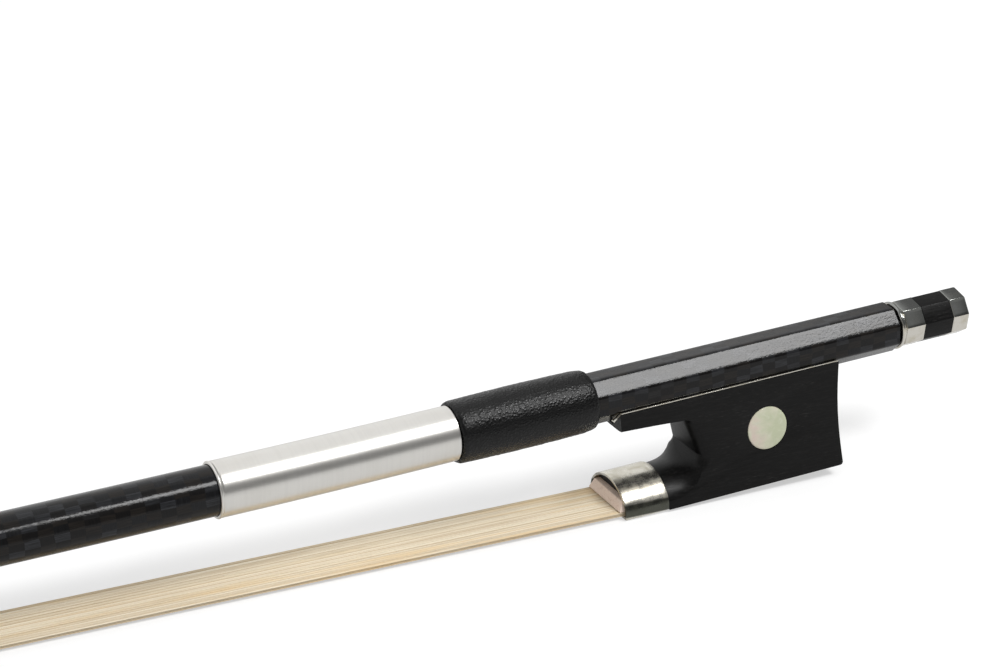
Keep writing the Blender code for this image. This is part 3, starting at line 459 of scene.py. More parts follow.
def nickel(name, color, roughness, scratch, reflection_bands=0.0, shaded_top=0.0):
    """Polished nickel silver with handling marks and tarnish.

    The second last argument sets painted reflection bands by height, dark greenish low down and brown near
    the top; the last sets painted shade that greys the faces that look up.
    """
    made = Shader(name, color, roughness, 1.0)
    marks = made.noise(made.place((0.14, 4, 4)), 1.0, 4, 0.6)
    clouds = made.noise(made.place((0.45, 0.45, 0.45)), 1.0, 4, 0.6)
    tarnish = tuple(value * share for value, share in zip(color, (0.80, 0.77, 0.68)))
    base = made.mix(made.span(clouds, 0.42, 0.72, 0, 0.8), color, tarnish)
    if reflection_bands:
        # Painted reflection by height: a brown band near the top and a dark greenish band low down
        low = made.part(made.place(), 2)
        ragged = made.math("ADD", low, made.math("MULTIPLY", marks, 0.5))
        mid_reflection = made.math("MULTIPLY", made.span(ragged, 4.2, 4.5), made.span(ragged, 5.55, 5.2))
        mid_reflection = made.math("MULTIPLY", mid_reflection, made.span(marks, 0.3, 0.6, 0.2, 0.8))
        base = made.mix(mid_reflection, base, (0.30, 0.27, 0.22))
        low_reflection = made.math("MULTIPLY", made.span(ragged, 3.3, 2.8, 0, reflection_bands), made.span(low, 0.45, 0.75))
        base = made.mix(low_reflection, base, (0.055, 0.06, 0.047))
    if shaded_top:
        # Painted shade: faces that look up are greyed
        base = made.mix(made.span(made.facing(2), 0.3, 0.42, 0, shaded_top), base, (0.22, 0.235, 0.235))
    rough = made.math("ADD", made.span(clouds, 0.35, 0.7, roughness * 0.75, roughness * 1.5),
                      made.math("MULTIPLY", marks, scratch))
    made.drive(Base_Color=base, Roughness=rough)
    made.bump(marks, 0.12, 0.012 * MM)
    return made.material


def winding_silver():
    """Satin silver wire, dulled a little by the hand."""
    made = Shader("winding_silver", (0.80, 0.785, 0.75), 0.31, 1.0)
    dirt = made.noise(made.place((0.12, 0.2, 0.2)), 1.0, 3)
    turns = made.noise(made.place((2.2, 0.02, 0.02)), 1.0, 1)
    base = made.mix(made.span(dirt, 0.45, 0.8, 0, 0.3), (0.76, 0.745, 0.71), (0.64, 0.61, 0.55))
    base = made.mix(made.span(turns, 0.4, 0.7, 0, 0.1), base, (0.56, 0.54, 0.51))
    made.drive(Base_Color=base)
    return made.material


def leather():
    """Black grip leather: pebbles that shine on their tops."""
    made = Shader("grip_leather", (0.003, 0.003, 0.003), 0.3, Specular_IOR_Level=0.3)
    values = {"Vector": made.place(), "Scale": 2.3, "Randomness": 0.9, "Smoothness": 0.35}
    pebble = made.node("TexVoronoi", values, feature="SMOOTH_F1").outputs["Distance"]
    crease = made.noise(made.place((1.6, 3.2, 3.2)), 1.0, 5, 0.65)
    height = made.math("SUBTRACT", made.math("MULTIPLY", crease, 0.5), pebble)
    base = made.mix(made.span(height, -0.3, 0.2), (0.0015, 0.0015, 0.0015), (0.005, 0.005, 0.0055))
    made.drive(Base_Color=base, Roughness=made.span(height, -0.3, 0.1, 0.40, 0.17))
    made.bump(height, 0.8, 0.085 * MM)
    return made.material


def pearl():
    """Mother of pearl: soft clouds of green, rose and cream, under a polished face."""
    made = Shader("mother_of_pearl", (0.66, 0.66, 0.54), 0.2, Coat_Weight=0.5, Coat_Roughness=0.05)
    layers = made.noise(made.place((0.16, 0.16, 0.12), (0.5, 0.3, 0.4)), 1.0, 3, 0.5, 0.6)
    fine = made.noise(made.place(), 0.9, 3, 0.6, 1.0)
    silk = made.noise(made.place((0.5, 1.6, 1.6), (0, 0.6, 0)), 1.0, 4, 0.6)
    green = made.mix(made.span(layers, 0.38, 0.55), (0.50, 0.53, 0.36), (0.60, 0.59, 0.45))
    base = made.mix(made.span(layers, 0.5, 0.66), green, (0.63, 0.53, 0.45))
    base = made.mix(made.span(fine, 0.5, 0.8, 0, 0.35), base, (0.72, 0.72, 0.63))
    base = made.mix(made.span(silk, 0.45, 0.75, 0, 0.25), base, (0.42, 0.44, 0.33))
    made.drive(Base_Color=base)
    made.bump(fine, 0.08, 0.02 * MM)
    return made.material


def ivory():
    """Ivory-coloured plate: fine grain under warmer clouds."""
    made = Shader("ivory_plate", (0.79, 0.73, 0.58), 0.34, Subsurface_Weight=0.08,
                  Subsurface_Scale=0.5 * MM)
    grain = made.noise(made.place((0.18, 2.6, 2.6)), 1.0, 4, 0.55, 0.4)
    clouds = made.noise(made.place((0.3, 0.3, 0.3)), 1.0, 3)
    base = made.mix(made.span(grain, 0.4, 0.68), (0.68, 0.62, 0.50), (0.57, 0.49, 0.37))
    base = made.mix(made.span(clouds, 0.55, 0.8, 0, 0.45), base, (0.53, 0.45, 0.33))
    made.drive(Base_Color=base, Roughness=made.span(grain, 0.3, 0.7, 0.28, 0.42))
    made.bump(grain, 0.12, 0.02 * MM)
    return made.material


def horsehair():
    """Rosined horsehair. Each strand has its own tone, warmer at the head, with painted shade that darkens
    it to brown at the tip plate.
    """
    made = Shader("horsehair", (0.66, 0.57, 0.42), 0.42, Specular_IOR_Level=0.4)
    tone = made.node("Attribute", attribute_name="tone").outputs["Fac"]
    run = made.noise(made.place((0.03, 0.75, 0.75)), 1.0, 4, 0.62)
    warm = made.noise(made.place((0.02, 0.45, 0.45)), 1.0, 3, 0.6)
    light = made.mix(tone, (0.60, 0.45, 0.27), (0.94, 0.86, 0.69))
    base = made.mix(made.span(run, 0.45, 0.7, 0, 0.55), light, (0.64, 0.51, 0.34))
    base = made.mix(made.span(warm, 0.46, 0.64, 0, 0.7), base, (0.84, 0.64, 0.37))
    along = made.part(made.place(), 0)
    base = made.mix(made.span(along, -100, -300, 0, 0.5), base, (0.98, 0.74, 0.44))
    # Painted shade: the strands darken to brown at the head end, under the tip plate where they go into the
    # mortise
    base = made.mix(made.span(along, -345, -350, 0, 0.5), base, (0.58, 0.40, 0.24))
    made.drive(Base_Color=base, Roughness=made.span(run, 0.3, 0.7, 0.36, 0.5))
    return made.material


def wood(name, light, dark, scale):
    """Sawn wood, seen mostly on its end grain."""
    made = Shader(name, light, 0.72)
    spot = made.place(scale)
    pores = made.node("TexVoronoi", {"Vector": spot, "Scale": 3.2, "Randomness": 1.0}).outputs["Distance"]
    fibres = made.noise(spot, 1.1, 5, 0.7)
    base = made.mix(made.span(pores, 0.05, 0.35, 0.7, 0), light, dark)
    base = made.mix(made.span(fibres, 0.5, 0.8, 0, 0.45), base, tuple(0.8 * v for v in dark))
    made.drive(Base_Color=base, Roughness=made.span(fibres, 0.3, 0.7, 0.6, 0.85))
    made.bump(made.math("ADD", pores, fibres), 0.5, 0.06 * MM)
    return made.material


def machined(name, color, roughness):
    """Turned brass or steel, with the lathe's fine rings round the X axis."""
    made = Shader(name, color, roughness, 1.0)
    rings = made.noise(made.place((14, 0.3, 0.3)), 1.0, 2)
    film = made.noise(made.place((0.6, 0.6, 0.6)), 1.0, 4)
    base = made.mix(made.span(film, 0.45, 0.75, 0, 0.6), color, tuple(0.6 * v for v in color))
    made.drive(Base_Color=base, Roughness=made.span(rings, 0.3, 0.7, roughness * 0.8, roughness * 1.5))
    made.bump(rings, 0.15, 0.01 * MM)
    return made.material


def fibre_liner():
    """Dark, matt fibre sheet between head and plate."""
    made = Shader("dark_liner", (0.03, 0.03, 0.03), 0.55)
    spots = made.noise(made.place(), 2.0, 4, 0.6)
    base = made.mix(made.span(spots, 0.35, 0.7), (0.018, 0.018, 0.018), (0.045, 0.043, 0.041))
    made.drive(Base_Color=base, Roughness=made.span(spots, 0.3, 0.7, 0.45, 0.65))
    made.bump(spots, 0.2, 0.02 * MM)
    return made.material


looks = {
    "weave": carbon_weave(), "head": carbon_head(), "ebony": ebony(), "leather": leather(),
    "pearl": pearl(),
    # painted reflection bands by height, which reach only the ferrule
    "silver": nickel("nickel_silver", (0.70, 0.675, 0.60), 0.21, 0.13, 0.92),
    # the button's metal has painted shade on its faces that look up
    "button": nickel("button_silver", (0.66, 0.635, 0.58), 0.11, 0.06, shaded_top=0.8),
    "winding": winding_silver(), "ivory": ivory(), "hair": horsehair(), "liner": fibre_liner(),
    "wedge": wood("maple_wedge", (0.98, 0.80, 0.68), (0.66, 0.40, 0.27), (1.3, 1.3, 1.3)),
    "plug": wood("maple_plug", (0.66, 0.50, 0.36), (0.40, 0.26, 0.16), (0.2, 1.0, 1.0)),
    "brass": machined("turned_brass", (0.72, 0.53, 0.24), 0.24),
    "steel": machined("turned_steel", (0.56, 0.56, 0.57), 0.24),
}


# Sections, as ring_count points that start at the bottom and go round by way of +Y
def octagon(flats, corner):
    """A rounded octagon with level flats, with points along both its corners and its flats."""
    reach = (flats / 2 - corner) / math.cos(math.radians(22.5))
    ring = []
    for k in range(8):
        middle, after = math.radians(22.5 + 45 * k), math.radians(67.5 + 45 * k)
        ends = [(reach * math.cos(angle), reach * math.sin(angle)) for angle in (middle, after)]
        for step in range(arc_steps):
            angle = middle + math.radians(-22.5 + 45 * step / (arc_steps - 1))
            ring.append((ends[0][0] + corner * math.cos(angle), ends[0][1] + corner * math.sin(angle)))
        facet = math.radians(45 + 45 * k)
        lift = (corner * math.cos(facet), corner * math.sin(facet))
        for step in range(1, flat_steps + 1):
            share = step / (flat_steps + 1)
            ring.append(tuple(a + (b - a) * share + c for a, b, c in zip(*ends, lift)))
    lowest = min(range(len(ring)), key=lambda i: (round(ring[i][1] / MM, 4), abs(ring[i][0])))
    return ring[lowest:] + ring[:lowest]


def circle(radius):
    return [(radius * math.sin(angle), -radius * math.cos(angle)) for angle in angles(ring_count)]


def between(first, second, share):
    return [tuple(a + (b - a) * share for a, b in zip(p, q)) for p, q in zip(first, second)]


neck_x = head_x + neck_station
bend_x = handle_x + bend_start * math.cos(handle_tilt)
camber_x = handle_x + camber_start * math.cos(handle_tilt)
camber_rise = math.tan(handle_tilt) - bend_turn
camber_z = handle_z + camber_start * math.sin(handle_tilt) + bend_turn * (bend_x - camber_x) / 2


def stick_axis(x):
    """Height and slope of the stick's axis: straight handle, a short bend, one camber, straight neck."""
    if x >= camber_x:
        into_bend = max(bend_x - x, 0) / (bend_x - camber_x)
        straight = handle_z + (x - handle_x) * math.tan(handle_tilt)
        height = straight + bend_turn * (bend_x - camber_x) * into_bend ** 2 / 2
        return height, math.atan(math.tan(handle_tilt) - bend_turn * into_bend)
    if x <= neck_x:
        return neck_height + (x - neck_x) * math.tan(neck_slope), neck_slope
    span = camber_x - neck_x
    t = (x - neck_x) / span
    low, high = math.tan(neck_slope) * span, camber_rise * span
    rise = camber_z - neck_height
    a, b = low + high - 2 * rise, 3 * rise - 2 * low - high
    height = neck_height + low * t + b * t ** 2 + a * t ** 3
    return height, math.atan((low + 2 * b * t + 3 * a * t ** 2) / span)


def stick_radius(x):
    t = min(max((camber_x - x) / (camber_x - neck_x), 0), 1)
    return (handle_round - (handle_round - neck_diameter) * t ** taper_power) / 2


def on_axis(x, points):
    height, slope = stick_axis(x)
    return [(x - v * math.sin(slope), u, height + v * math.cos(slope)) for u, v in points]


def station(along):
    return handle_x + along * math.cos(handle_tilt)


def columns_of(ring):
    """Distance round a ring in millimetres, measured from its top."""
    points = [Vector(point) for point in ring] + [Vector(ring[0])]
    steps = [0.0]
    for a, b in zip(points, points[1:]):
        steps.append(steps[-1] + (b - a).length / MM)
    return [value - steps[-1] / 2 for value in steps]


# The head's sections
def head_axis(x):
    rise = math.tan(-neck_slope)
    ahead = min(neck_station - x, neck_station - neck_level)
    return neck_height + rise * ahead - rise * ahead ** 2 / 2 / (neck_station - neck_level)


def plate_face(x):
    return nose_rise * max((plate_end - x) / (plate_end - nose_start), 0) ** nose_power


def plate_half_width(x):
    share = min(max((plate_width_reach - x) / (plate_width_reach - nose_start), 0), 1)
    return plate_width / 2 - (plate_width - plate_nose_width) / 2 * share ** 2.2


def head_seat(x):
    return plate_face(x) + plate_thickness + liner_thickness + 2 * layer_gap


def cheek_half_width(x, z):
    neck = neck_diameter / 2
    share = min(max((neck_height - z) / (neck_height - plate_thickness), 0), 1)
    return neck + (plate_half_width(x) - 0.1 * MM - neck) * share


def ridge_height(x):
    top = head_axis(x) + neck_diameter / 2
    if x >= ridge_top:
        share = (head_round_start - x) / (head_round_start - ridge_top)
        return top - ridge_drop * (1 - math.sqrt(max(1 - share ** 2, 0)))
    share = (x - nose_start) / (ridge_top - nose_start)
    start = head_seat(x) + nose_edge
    return start + (top - ridge_drop - start) * share ** ridge_power


def cheek_top(x):
    seat = head_seat(x)
    share = min(max((x - cheek_start) / (head_round_start - cheek_start), 0), 1)
    return seat + cheek_edge + (neck_height - seat) * share ** cheek_power


head_upper = 15
head_lower = ring_count // 2 - head_upper - 2


def half_section(x):
    """Half of the head at x, from the top edge down to the plate's seat."""
    axis_z, seat, radius = head_axis(x), head_seat(x), neck_diameter / 2
    upper = []
    if x >= head_round_start:
        for k in range(head_upper):
            angle = math.radians(90 * (1 - (k + 0.25) / (head_upper - 0.75)))
            upper.append((radius * math.cos(angle), axis_z + radius * math.sin(angle)))
    else:
        top = ridge_height(x)
        shoulder = min(cheek_top(x), top - 0.1 * MM)
        for k in range(head_upper):
            share = k / (head_upper - 1)
            half = ridge_half + (cheek_half_width(x, shoulder) - ridge_half) * share
            upper.append((half, top + (shoulder - top) * share))
    narrow = back_chamfer * min(max((x - (throat_start - 2 * MM)) / (2 * MM), 0), 1)
    start = upper[-1][1]
    lower = []
    for k in range(1, head_lower + 1):
        z = start + (seat - start) * k / head_lower
        full = max(cheek_half_width(x, z) - narrow * min((start - z) / (3 * MM), 1), 0.4 * MM)
        lower.append((full, z))
    foot = max(lower[-1][0] - 0.6 * MM, 0.15 * MM)
    return upper + lower + [(foot + 0.2 * MM, seat), (foot, seat)]


def throat_section(x):
    axis_z, radius = head_axis(x), stick_radius(head_x + x)
    reach = min((x - throat_start) / throat_radius, 1)
    drop = throat_radius * (1 - math.sqrt(max(1 - (1 - reach) ** 2, 0)))
    half = []
    count = ring_count // 2
    for k in range(count):
        angle = math.radians(90 - 180 * (k + 0.5) / count)
        y, z = radius * math.cos(angle), axis_z + radius * math.sin(angle)
        half.append((y, z - drop * max(axis_z - z, 0) / radius))
    return half


def whole_ring(x, half):
    """Both halves of a head section, from the bottom round by way of +Y."""
    ring = [(head_x + x, y, z) for y, z in half]
    return ring[::-1] + [(px, -py, pz) for px, py, pz in ring]


def build_stick():
    """One skin from the handle's end to the nose, hollow, slotted and mortised as the CAD's."""
    square = octagon(handle_flats, handle_corner)
    stations = [station(handle_rear)]
    rings = [on_axis(stations[0], octagon(handle_flats - 2 * end_chamfer, handle_corner))]
    for along in np.linspace(handle_rear - end_chamfer, handle_front, handle_rings):
        stations.append(station(float(along)))
        rings.append(on_axis(stations[-1], square))
    for share in (0.25, 0.5, 0.75, 1):
        stations.append(station(handle_front + (round_start - handle_front) * share))
        rings.append(on_axis(stations[-1], between(square, circle(stick_radius(stations[-1])), share)))
    for x in np.linspace(station(bend_start), neck_x + throat_radius, stick_rings):
        stations.append(float(x))
        rings.append(on_axis(float(x), circle(stick_radius(float(x)))))
    for reach in (0.9, 0.75, 0.6, 0.45, 0.32, 0.22, 0.14, 0.08, 0.035, 0.008):
        x = throat_start + reach * throat_radius
        stations.append(head_x + x)
        rings.append(whole_ring(x, throat_section(x)))
    split = len(rings)
    run = head_round_start - nose_start
    ahead = [throat_start - 0.5 * MM * k for k in range(6)]
    plain = throat_start - 2.5 * MM - head_round_start
    ahead += [head_round_start + plain * (1 - k / 6) for k in range(1, 7)]
    ahead += [head_round_start - 0.14 * MM * k for k in range(1, 9)]
    ahead += [nose_start + run * share for share in np.linspace(0.9, 0.072, head_rings)]
    for x in ahead:
        x = float(x)
        stations.append(head_x + x)
        rings.append(whole_ring(x, half_section(x)))
    form = loft(rings, [x / MM for x in stations], [columns_of(ring) for ring in rings])
    form.faces.ensure_lookup_table()
    border = stations[split] - 0.01 * MM
    for face in form.faces:
        if face.calc_center_median().x < border:
            face.material_index = 1
    stick = link("stick_skin", to_mesh(form, "stick_skin"), [looks["weave"], looks["head"]], 32)

    hollow = []
    for x in np.linspace(station(handle_rear + 2 * MM), neck_x + 2 * MM, bore_rings):
        radius = min(stick_bore / 2, stick_radius(float(x)) - stick_wall)
        hollow.append(on_axis(float(x), circle(radius)))
    slot = block((slot_front, -slot_width / 2, -handle_flats), (slot_rear, slot_width / 2, 0), HANDLE)
    top = plate_face(window_front) + plate_thickness + mortise_depth
    mortise = block((window_front + 0.3 * MM, -window_width / 2, -1 * MM),
                    (window_back, window_width / 2, top), Matrix.Translation((head_x, 0, 0)))
    carve(stick, [to_mesh(loft(hollow), "cut"), slot, mortise])
    smooth(stick.data, 32)
    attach(stick, "stick")
    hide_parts("stick")


def sleeve(name, rows, look, node, shape=None):
    """A closed sleeve on the round stick. Rows are (station, inner radius, outer radius), front to rear."""
    outer, inner = [], []
    for along, low, high in rows:
        x = station(along)
        inner.append(on_axis(x, circle(low)))
        ring = circle(high)
        if shape:
            ring = [shape(along, high, u, v) for u, v in ring]
        outer.append(on_axis(x, ring))
    piece = link(name, to_mesh(loft(outer + inner[::-1], wrap_rows=True), name), look, 50)
    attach(piece, "stick")
    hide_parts(node)
    return piece


def build_winding():
    """Fine silver wire, laid turn by turn, under a turned lip at the front."""
    rows = []
    lip = ((0, winding_wall * 0.6), (0.08, winding_wall), (0.2, winding_wall + 0.1 * MM),
           (0.36, winding_wall + 0.08 * MM), (0.5, winding_wall - 0.04 * MM),
           (0.6, winding_wall - 0.08 * MM), (0.72, winding_wall - 0.01 * MM))
    for along, wall in lip:
        rows.append((winding_front + along * MM, wall))
    start = winding_front + 0.8 * MM
    turns = int((winding_rear - start) / wire_pitch)
    pitch = (winding_rear - start) / turns
    for k in range(turns):
        for share, height in ((0.0, -0.010), (0.25, -0.002), (0.5, 0.0), (0.75, -0.002)):
            rows.append((start + pitch * (k + share), winding_wall + height * MM))
    rows.append((winding_rear, winding_wall - 0.04 * MM))
    full = []
    for along, wall in rows:
        base = stick_radius(station(along)) + sleeve_gap
        full.append((along, base, base + wall))
    sleeve("winding_wire", full, looks["winding"], "silver_winding")


def build_grip():
    """The leather thumb grip: bulged, pebbled, rounded at the frog and cut at the winding."""
    base = handle_flats / 2 / math.cos(math.radians(22.5)) + sleeve_gap
    length = grip_rear - grip_front
    rows = []
    for k in range(grip_rings + 1):
        share = k / grip_rings
        rounding = math.sqrt(max(1 - (1 - min(share / 0.03, (1 - share) / 0.1, 1)) ** 2, 0))
        bulge = grip_bulge * math.sin(math.pi * share)
        along = grip_front + length * share
        rows.append((along, base, base + grip_edge + (grip_wall - grip_edge) * rounding + bulge))

    def pebbled(along, high, u, v):
        at = Vector((along / MM, u / MM, v / MM))
        dents = noise.noise(at * 1.7) + 0.5 * noise.noise(at * 3.9) + 0.7 * noise.noise(at * 0.45)
        ragged = max(1 - (along - grip_front) / (0.6 * MM), 0) * noise.noise(at * 2.6) * 0.1
        grow = 1 + (0.045 * dents + ragged) * MM / high
        return u * grow, v * grow

    grip = sleeve("grip_hide", rows, looks["leather"], "grip_leather", pebbled)
    for vert in grip.data.vertices:
        at = TO_HANDLE @ vert.co
        near = max(1 - (at.x - grip_front) / (0.7 * MM), 0)
        torn = noise.noise(Vector((0, at.y / MM, at.z / MM)) * 2.4) + 0.6 * noise.noise(at / MM * 6)
        vert.co.x -= near * abs(torn) * 0.45 * MM


def d_ring(half, side, height, corner, bottom):
    """The ferrule's D section with rounded bottom corners, as (y, z) points."""
    def bend(centre, start):
        turns = [math.radians(start + 18 * k) for k in range(6)]
        return [(centre + corner * math.cos(a), bottom + corner + corner * math.sin(a)) for a in turns]

    ring = [((half - corner) * (k / 4 - 1), bottom) for k in range(8)] + bend(half - corner, -90)
    for i in range(1, arch_steps):
        angle = math.pi * i / arch_steps
        across = math.copysign(abs(math.cos(angle)) ** (2 / ferrule_curve), math.cos(angle))
        up = (height - side) * math.sin(angle) ** (2 / ferrule_curve)
        ring.append((half * across, bottom + side + up))
    return ring + bend(corner - half, 180)[:-1]


def build_ferrule():
    """The nickel-silver D ring, with rims rounded by polishing."""
    def ring(x, inset, wall=0.0):
        half, side = ferrule_width / 2 - inset - wall, ferrule_side - wall
        top = ferrule_height - 2 * wall - inset
        corner = max(ferrule_corner - wall, 0.12 * MM)
        flat = d_ring(half, side, top, corner, -frog_bottom + wall + inset * 0.5)
        return moved([(x, y, z) for y, z in flat], HANDLE)

    rear = ferrule_front + ferrule_length
    rim = 0.16 * MM
    outer = []
    for k in range(5):
        turn = math.pi / 2 * k / 4
        outer.append(ring(ferrule_front + rim * (1 - math.cos(turn)), rim * (1 - math.sin(turn))))
    outer += [ring(ferrule_front + ferrule_length * s, 0) for s in (0.1, 0.3, 0.5, 0.7, 0.9)]
    outer += [ring(rear - 0.08 * MM, 0), ring(rear - 0.03 * MM, 0.03 * MM), ring(rear, 0.08 * MM)]
    inner = [ring(rear, 0, ferrule_wall), ring(ferrule_front + 0.1 * MM, 0, ferrule_wall),
             ring(ferrule_front, -0.08 * MM, ferrule_wall)]
    form = loft(outer + inner, wrap_rows=True)
    ferrule = link("ferrule_shell", to_mesh(form, "ferrule_shell"), looks["silver"], 50)
    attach(ferrule, "frog")
    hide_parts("ferrule")


def build_frog():
    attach(rework("frog_body", looks["ebony"], 0.12 * MM, 3, 0.2, 42), "frog")
    parts = (("frog_liner", "silver", "silver", 0.03), ("slide_base", "ebony", "ebony", 0.05),
             ("pearl_slide", "pearl", "pearl", 0.05), ("frog_plug", "plug", "wood", 0.08),
             ("spread_wedge", "wedge", "wood", 0.08), ("frog_knot", "hair", "hair", 0.1),
             ("eyelet", "brass", "brass", 0.05), ("liner_screw_front", "brass", "brass", 0.05),
             ("liner_screw_rear", "brass", "brass", 0.05))
    for node, look, slot, bevel in parts:
        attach(rework(node, looks[look], bevel * MM), "frog")


def build_eyes():
    """Each eye is a low dome of pearl, let in flush with its cheek."""
    for side, sign in (("left", 1), ("right", -1)):
        node = "pearl_eye_" + side
        verts = np.array([tuple(v.co) for v in nodes[node].data.vertices])
        middle = Vector(verts.mean(axis=0))
        out = Vector(np.linalg.svd(verts - verts.mean(axis=0), full_matrices=False)[2][2])
        if out.y * sign < 0:
            out = -out
        depth = max(abs((Vector(v) - middle).dot(out)) for v in verts)
        place = Matrix.Translation(middle) @ out.to_track_quat("Z", "Y").to_matrix().to_4x4()
        rows = [(-depth, 0.3), (-depth, 0.96), (-depth + 0.1 * MM, 1), (depth - 0.1 * MM, 1),
                (depth - 0.04 * MM, 0.993), (depth, 0.98)]
        for share in (0.9, 0.75, 0.6, 0.45, 0.3, 0.15, 0.05):
            rows.append((depth + eye_dome * (1 - share ** 2), share))
        rings = []
        for height, share in rows:
            radius = eye_diameter / 2 * share
            ring = [(radius * math.cos(a), radius * math.sin(a), height) for a in angles(eye_sides)]
            rings.append(moved(ring, place))
        eye = link("eye_" + side, to_mesh(loft(rings), "eye"), looks["pearl"], 40)
        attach(eye, "frog")
        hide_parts(node)


def strand(form, layer, path, radius, tone):
    """One hair as a thin tube."""
    rings = []
    for x, y, z in path:
        rings.append([form.verts.new((x, y + radius * math.cos(a), z + radius * math.sin(a)))
                      for a in angles(strand_sides)])
        for vert in rings[-1]:
            vert[layer] = tone
    for near, far in zip(rings, rings[1:]):
        for i in range(strand_sides):
            j = (i + 1) % strand_sides
            form.faces.new((near[i], near[j], far[j], far[i]))
    form.faces.new(rings[0])
    form.faces.new(rings[-1])


def hair_line():
    """Stations of the ribbon as (x, half width, middle height, half thickness)."""
    end = HANDLE @ Vector((ferrule_front + 1 * MM, 0, -frog_bottom + hair_exit_height))
    window, thin = window_width / 2 - seat_gap, hair_head_thickness / 2
    lie = hair_clearance + thin
    rows = [(head_x + x, window, plate_face(x) + lie, thin)
            for x in (window_front + seat_gap, 17 * MM, window_back - 1 * MM)]
    rows.append((head_x + window_back - 0.2 * MM, window, lie, thin))
    rows.append((head_x + window_back + 1.4 * MM, hair_head_width / 2, lie, thin))
    start, goal = rows[-1], (end.x, hair_frog_width / 2, end.z, hair_thickness / 2)
    for share in (0.02, 0.06, 0.14, 0.25, 0.4, 0.55, 0.7, 0.82, 0.92, 1):
        rows.append(tuple(a + (b - a) * share for a, b in zip(start, goal)))
    return rows


def build_hair():
    """Strands in layers round a thin core, from the head's window to the ferrule."""
    rows = hair_line()
    form = bmesh.new()
    layer = form.verts.layers.float.new("tone")
    radius = strand_diameter / 2
    for level in range(hair_layers):
        for k in range(hairs_per_layer):
            across = -1 + 2 * (k + 0.5 + rng.uniform(-0.25, 0.25)) / hairs_per_layer
            height = 2 * level / (hair_layers - 1) - 1
            drift = rng.uniform(-0.03, 0.03)
            wave, phase = rng.uniform(0.0, 0.012), rng.uniform(0, math.tau)
            tone = min(max(rng.gauss(0.6, 0.28), 0), 1)
            path = []
            for x, half, middle, depth in rows:
                share = (x - rows[0][0]) / (rows[-1][0] - rows[0][0])
                offset = across + drift * math.sin(math.pi * share) + wave * math.sin(9 * share + phase)
                y = max(-1, min(1, offset)) * (half - radius)
                path.append((x, y, middle + height * (depth - radius)))
            strand(form, layer, path, radius, tone)
    hair = link("hair_strands", to_mesh(form, "hair_strands"), looks["hair"], 80)

    rings = []
    for x, half, middle, depth in rows:
        wide, tall = half - 0.12 * MM, depth * 0.55
        rings.append([(x, wide * math.cos(a), middle + tall * math.sin(a)) for a in angles(core_sides)])
    core = link("hair_core", to_mesh(loft(rings), "hair_core"), looks["hair"], 80)
    tone = core.data.attributes.new("tone", "FLOAT", "POINT")
    for value in tone.data:
        value.value = 0.6
    for piece in (hair, core):
        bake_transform(piece)
    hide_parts("hair_ribbon")


def build_head_parts():
    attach(rework("tip_plate", looks["ivory"], 0.0, 2, 0.4, 30), "stick")
    parts = (("tip_liner", "liner", "liner", 0.04), ("head_knot", "hair", "hair", 0.04),
             ("head_plug", "plug", "wood", 0.04), ("nose_bush", "brass", "brass", 0.08),
             ("butt_bush", "brass", "brass", 0.08))
    for node, look, slot, bevel in parts:
        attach(rework(node, looks[look], bevel * MM), "stick")


def turned_rings(rows):
    """Rings round the handle's X axis from (x, radius) rows."""
    return [moved([(x, radius * math.cos(a), radius * math.sin(a)) for a in angles(round_sides)], HANDLE)
            for x, radius in rows]


def button_section(x, flats):
    """An octagon round the handle's X axis, turned as the button stands in the photograph."""
    turn = Matrix.Rotation(button_turn, 4, "X")
    return moved([(x, u, v) for u, v in octagon(flats, button_corner)], HANDLE @ turn)


def octagon_shell(name, start, length, node, round_off=button_chamfer):
    """A hollow facetted ring with broken edges. round_off is the radius of its rear edge."""
    near, far = start + sleeve_gap / 2, start + length - sleeve_gap / 2
    rings = [button_section(near, button_flats - 2 * button_chamfer),
             button_section(near + button_chamfer, button_flats)]
    for k in range(5):
        angle = math.radians(22.5 * k)
        rings.append(button_section(far - round_off * (1 - math.sin(angle)),
                                    button_flats - 2 * round_off * (1 - math.cos(angle))))
    for x in (far, near):
        centre = HANDLE @ Vector((x, 0, 0))
        ring = [(Vector(p) - centre).normalized() for p in button_section(x, button_flats)]
        rings.append([tuple(centre + out * ring_bore / 2) for out in ring])
    piece = link(name, to_mesh(loft(rings, wrap_rows=True), name), looks["button"], 24)
    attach(piece, "screw")
    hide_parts(node)


def build_button():
    """The button's rings, its ebony core, the bead at its front and the screw behind it all."""
    ring_start = button_start + bead_length
    core_start = ring_start + front_ring_length
    rear_start = core_start + core_length
    octagon_shell("button_front_shell", ring_start, front_ring_length, "button_ring_front")
    octagon_shell("button_rear_shell", rear_start, rear_ring_length, "button_ring_rear", rear_round)
    radius, bore = bead_diameter / 2, ring_bore / 2
    profile = [(0.02 * MM, bore), (0.02 * MM, radius - 0.45 * MM)]
    for k in range(13):
        angle = math.pi * k / 12
        profile.append((0.38 * MM * (1 - math.cos(angle)) + 0.03 * MM,
                        radius - 0.42 * MM + 0.42 * MM * math.sin(angle)))
    profile += [(0.86 * MM, radius - 0.5 * MM), (0.92 * MM, radius - 0.52 * MM),
                (bead_length + 0.04 * MM, radius - 0.47 * MM), (bead_length + 0.04 * MM, bore)]
    rings = turned_rings([(button_start + x, r) for x, r in profile])
    bead = link("button_bead", to_mesh(loft(rings, wrap_rows=True), "bead"), looks["button"], 60)
    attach(bead, "screw")
    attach(rework("button_core", looks["ebony"], 0.08 * MM, 2, 0.6, 24), "screw")
    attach(rework("button_cap", looks["button"], 0.06 * MM), "screw")
    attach(rework("screw_shaft", looks["steel"], 0.08 * MM), "screw")


build_stick()
build_winding()
build_grip()
build_frog()
build_ferrule()
build_eyes()
build_hair()
build_head_parts()
build_button()


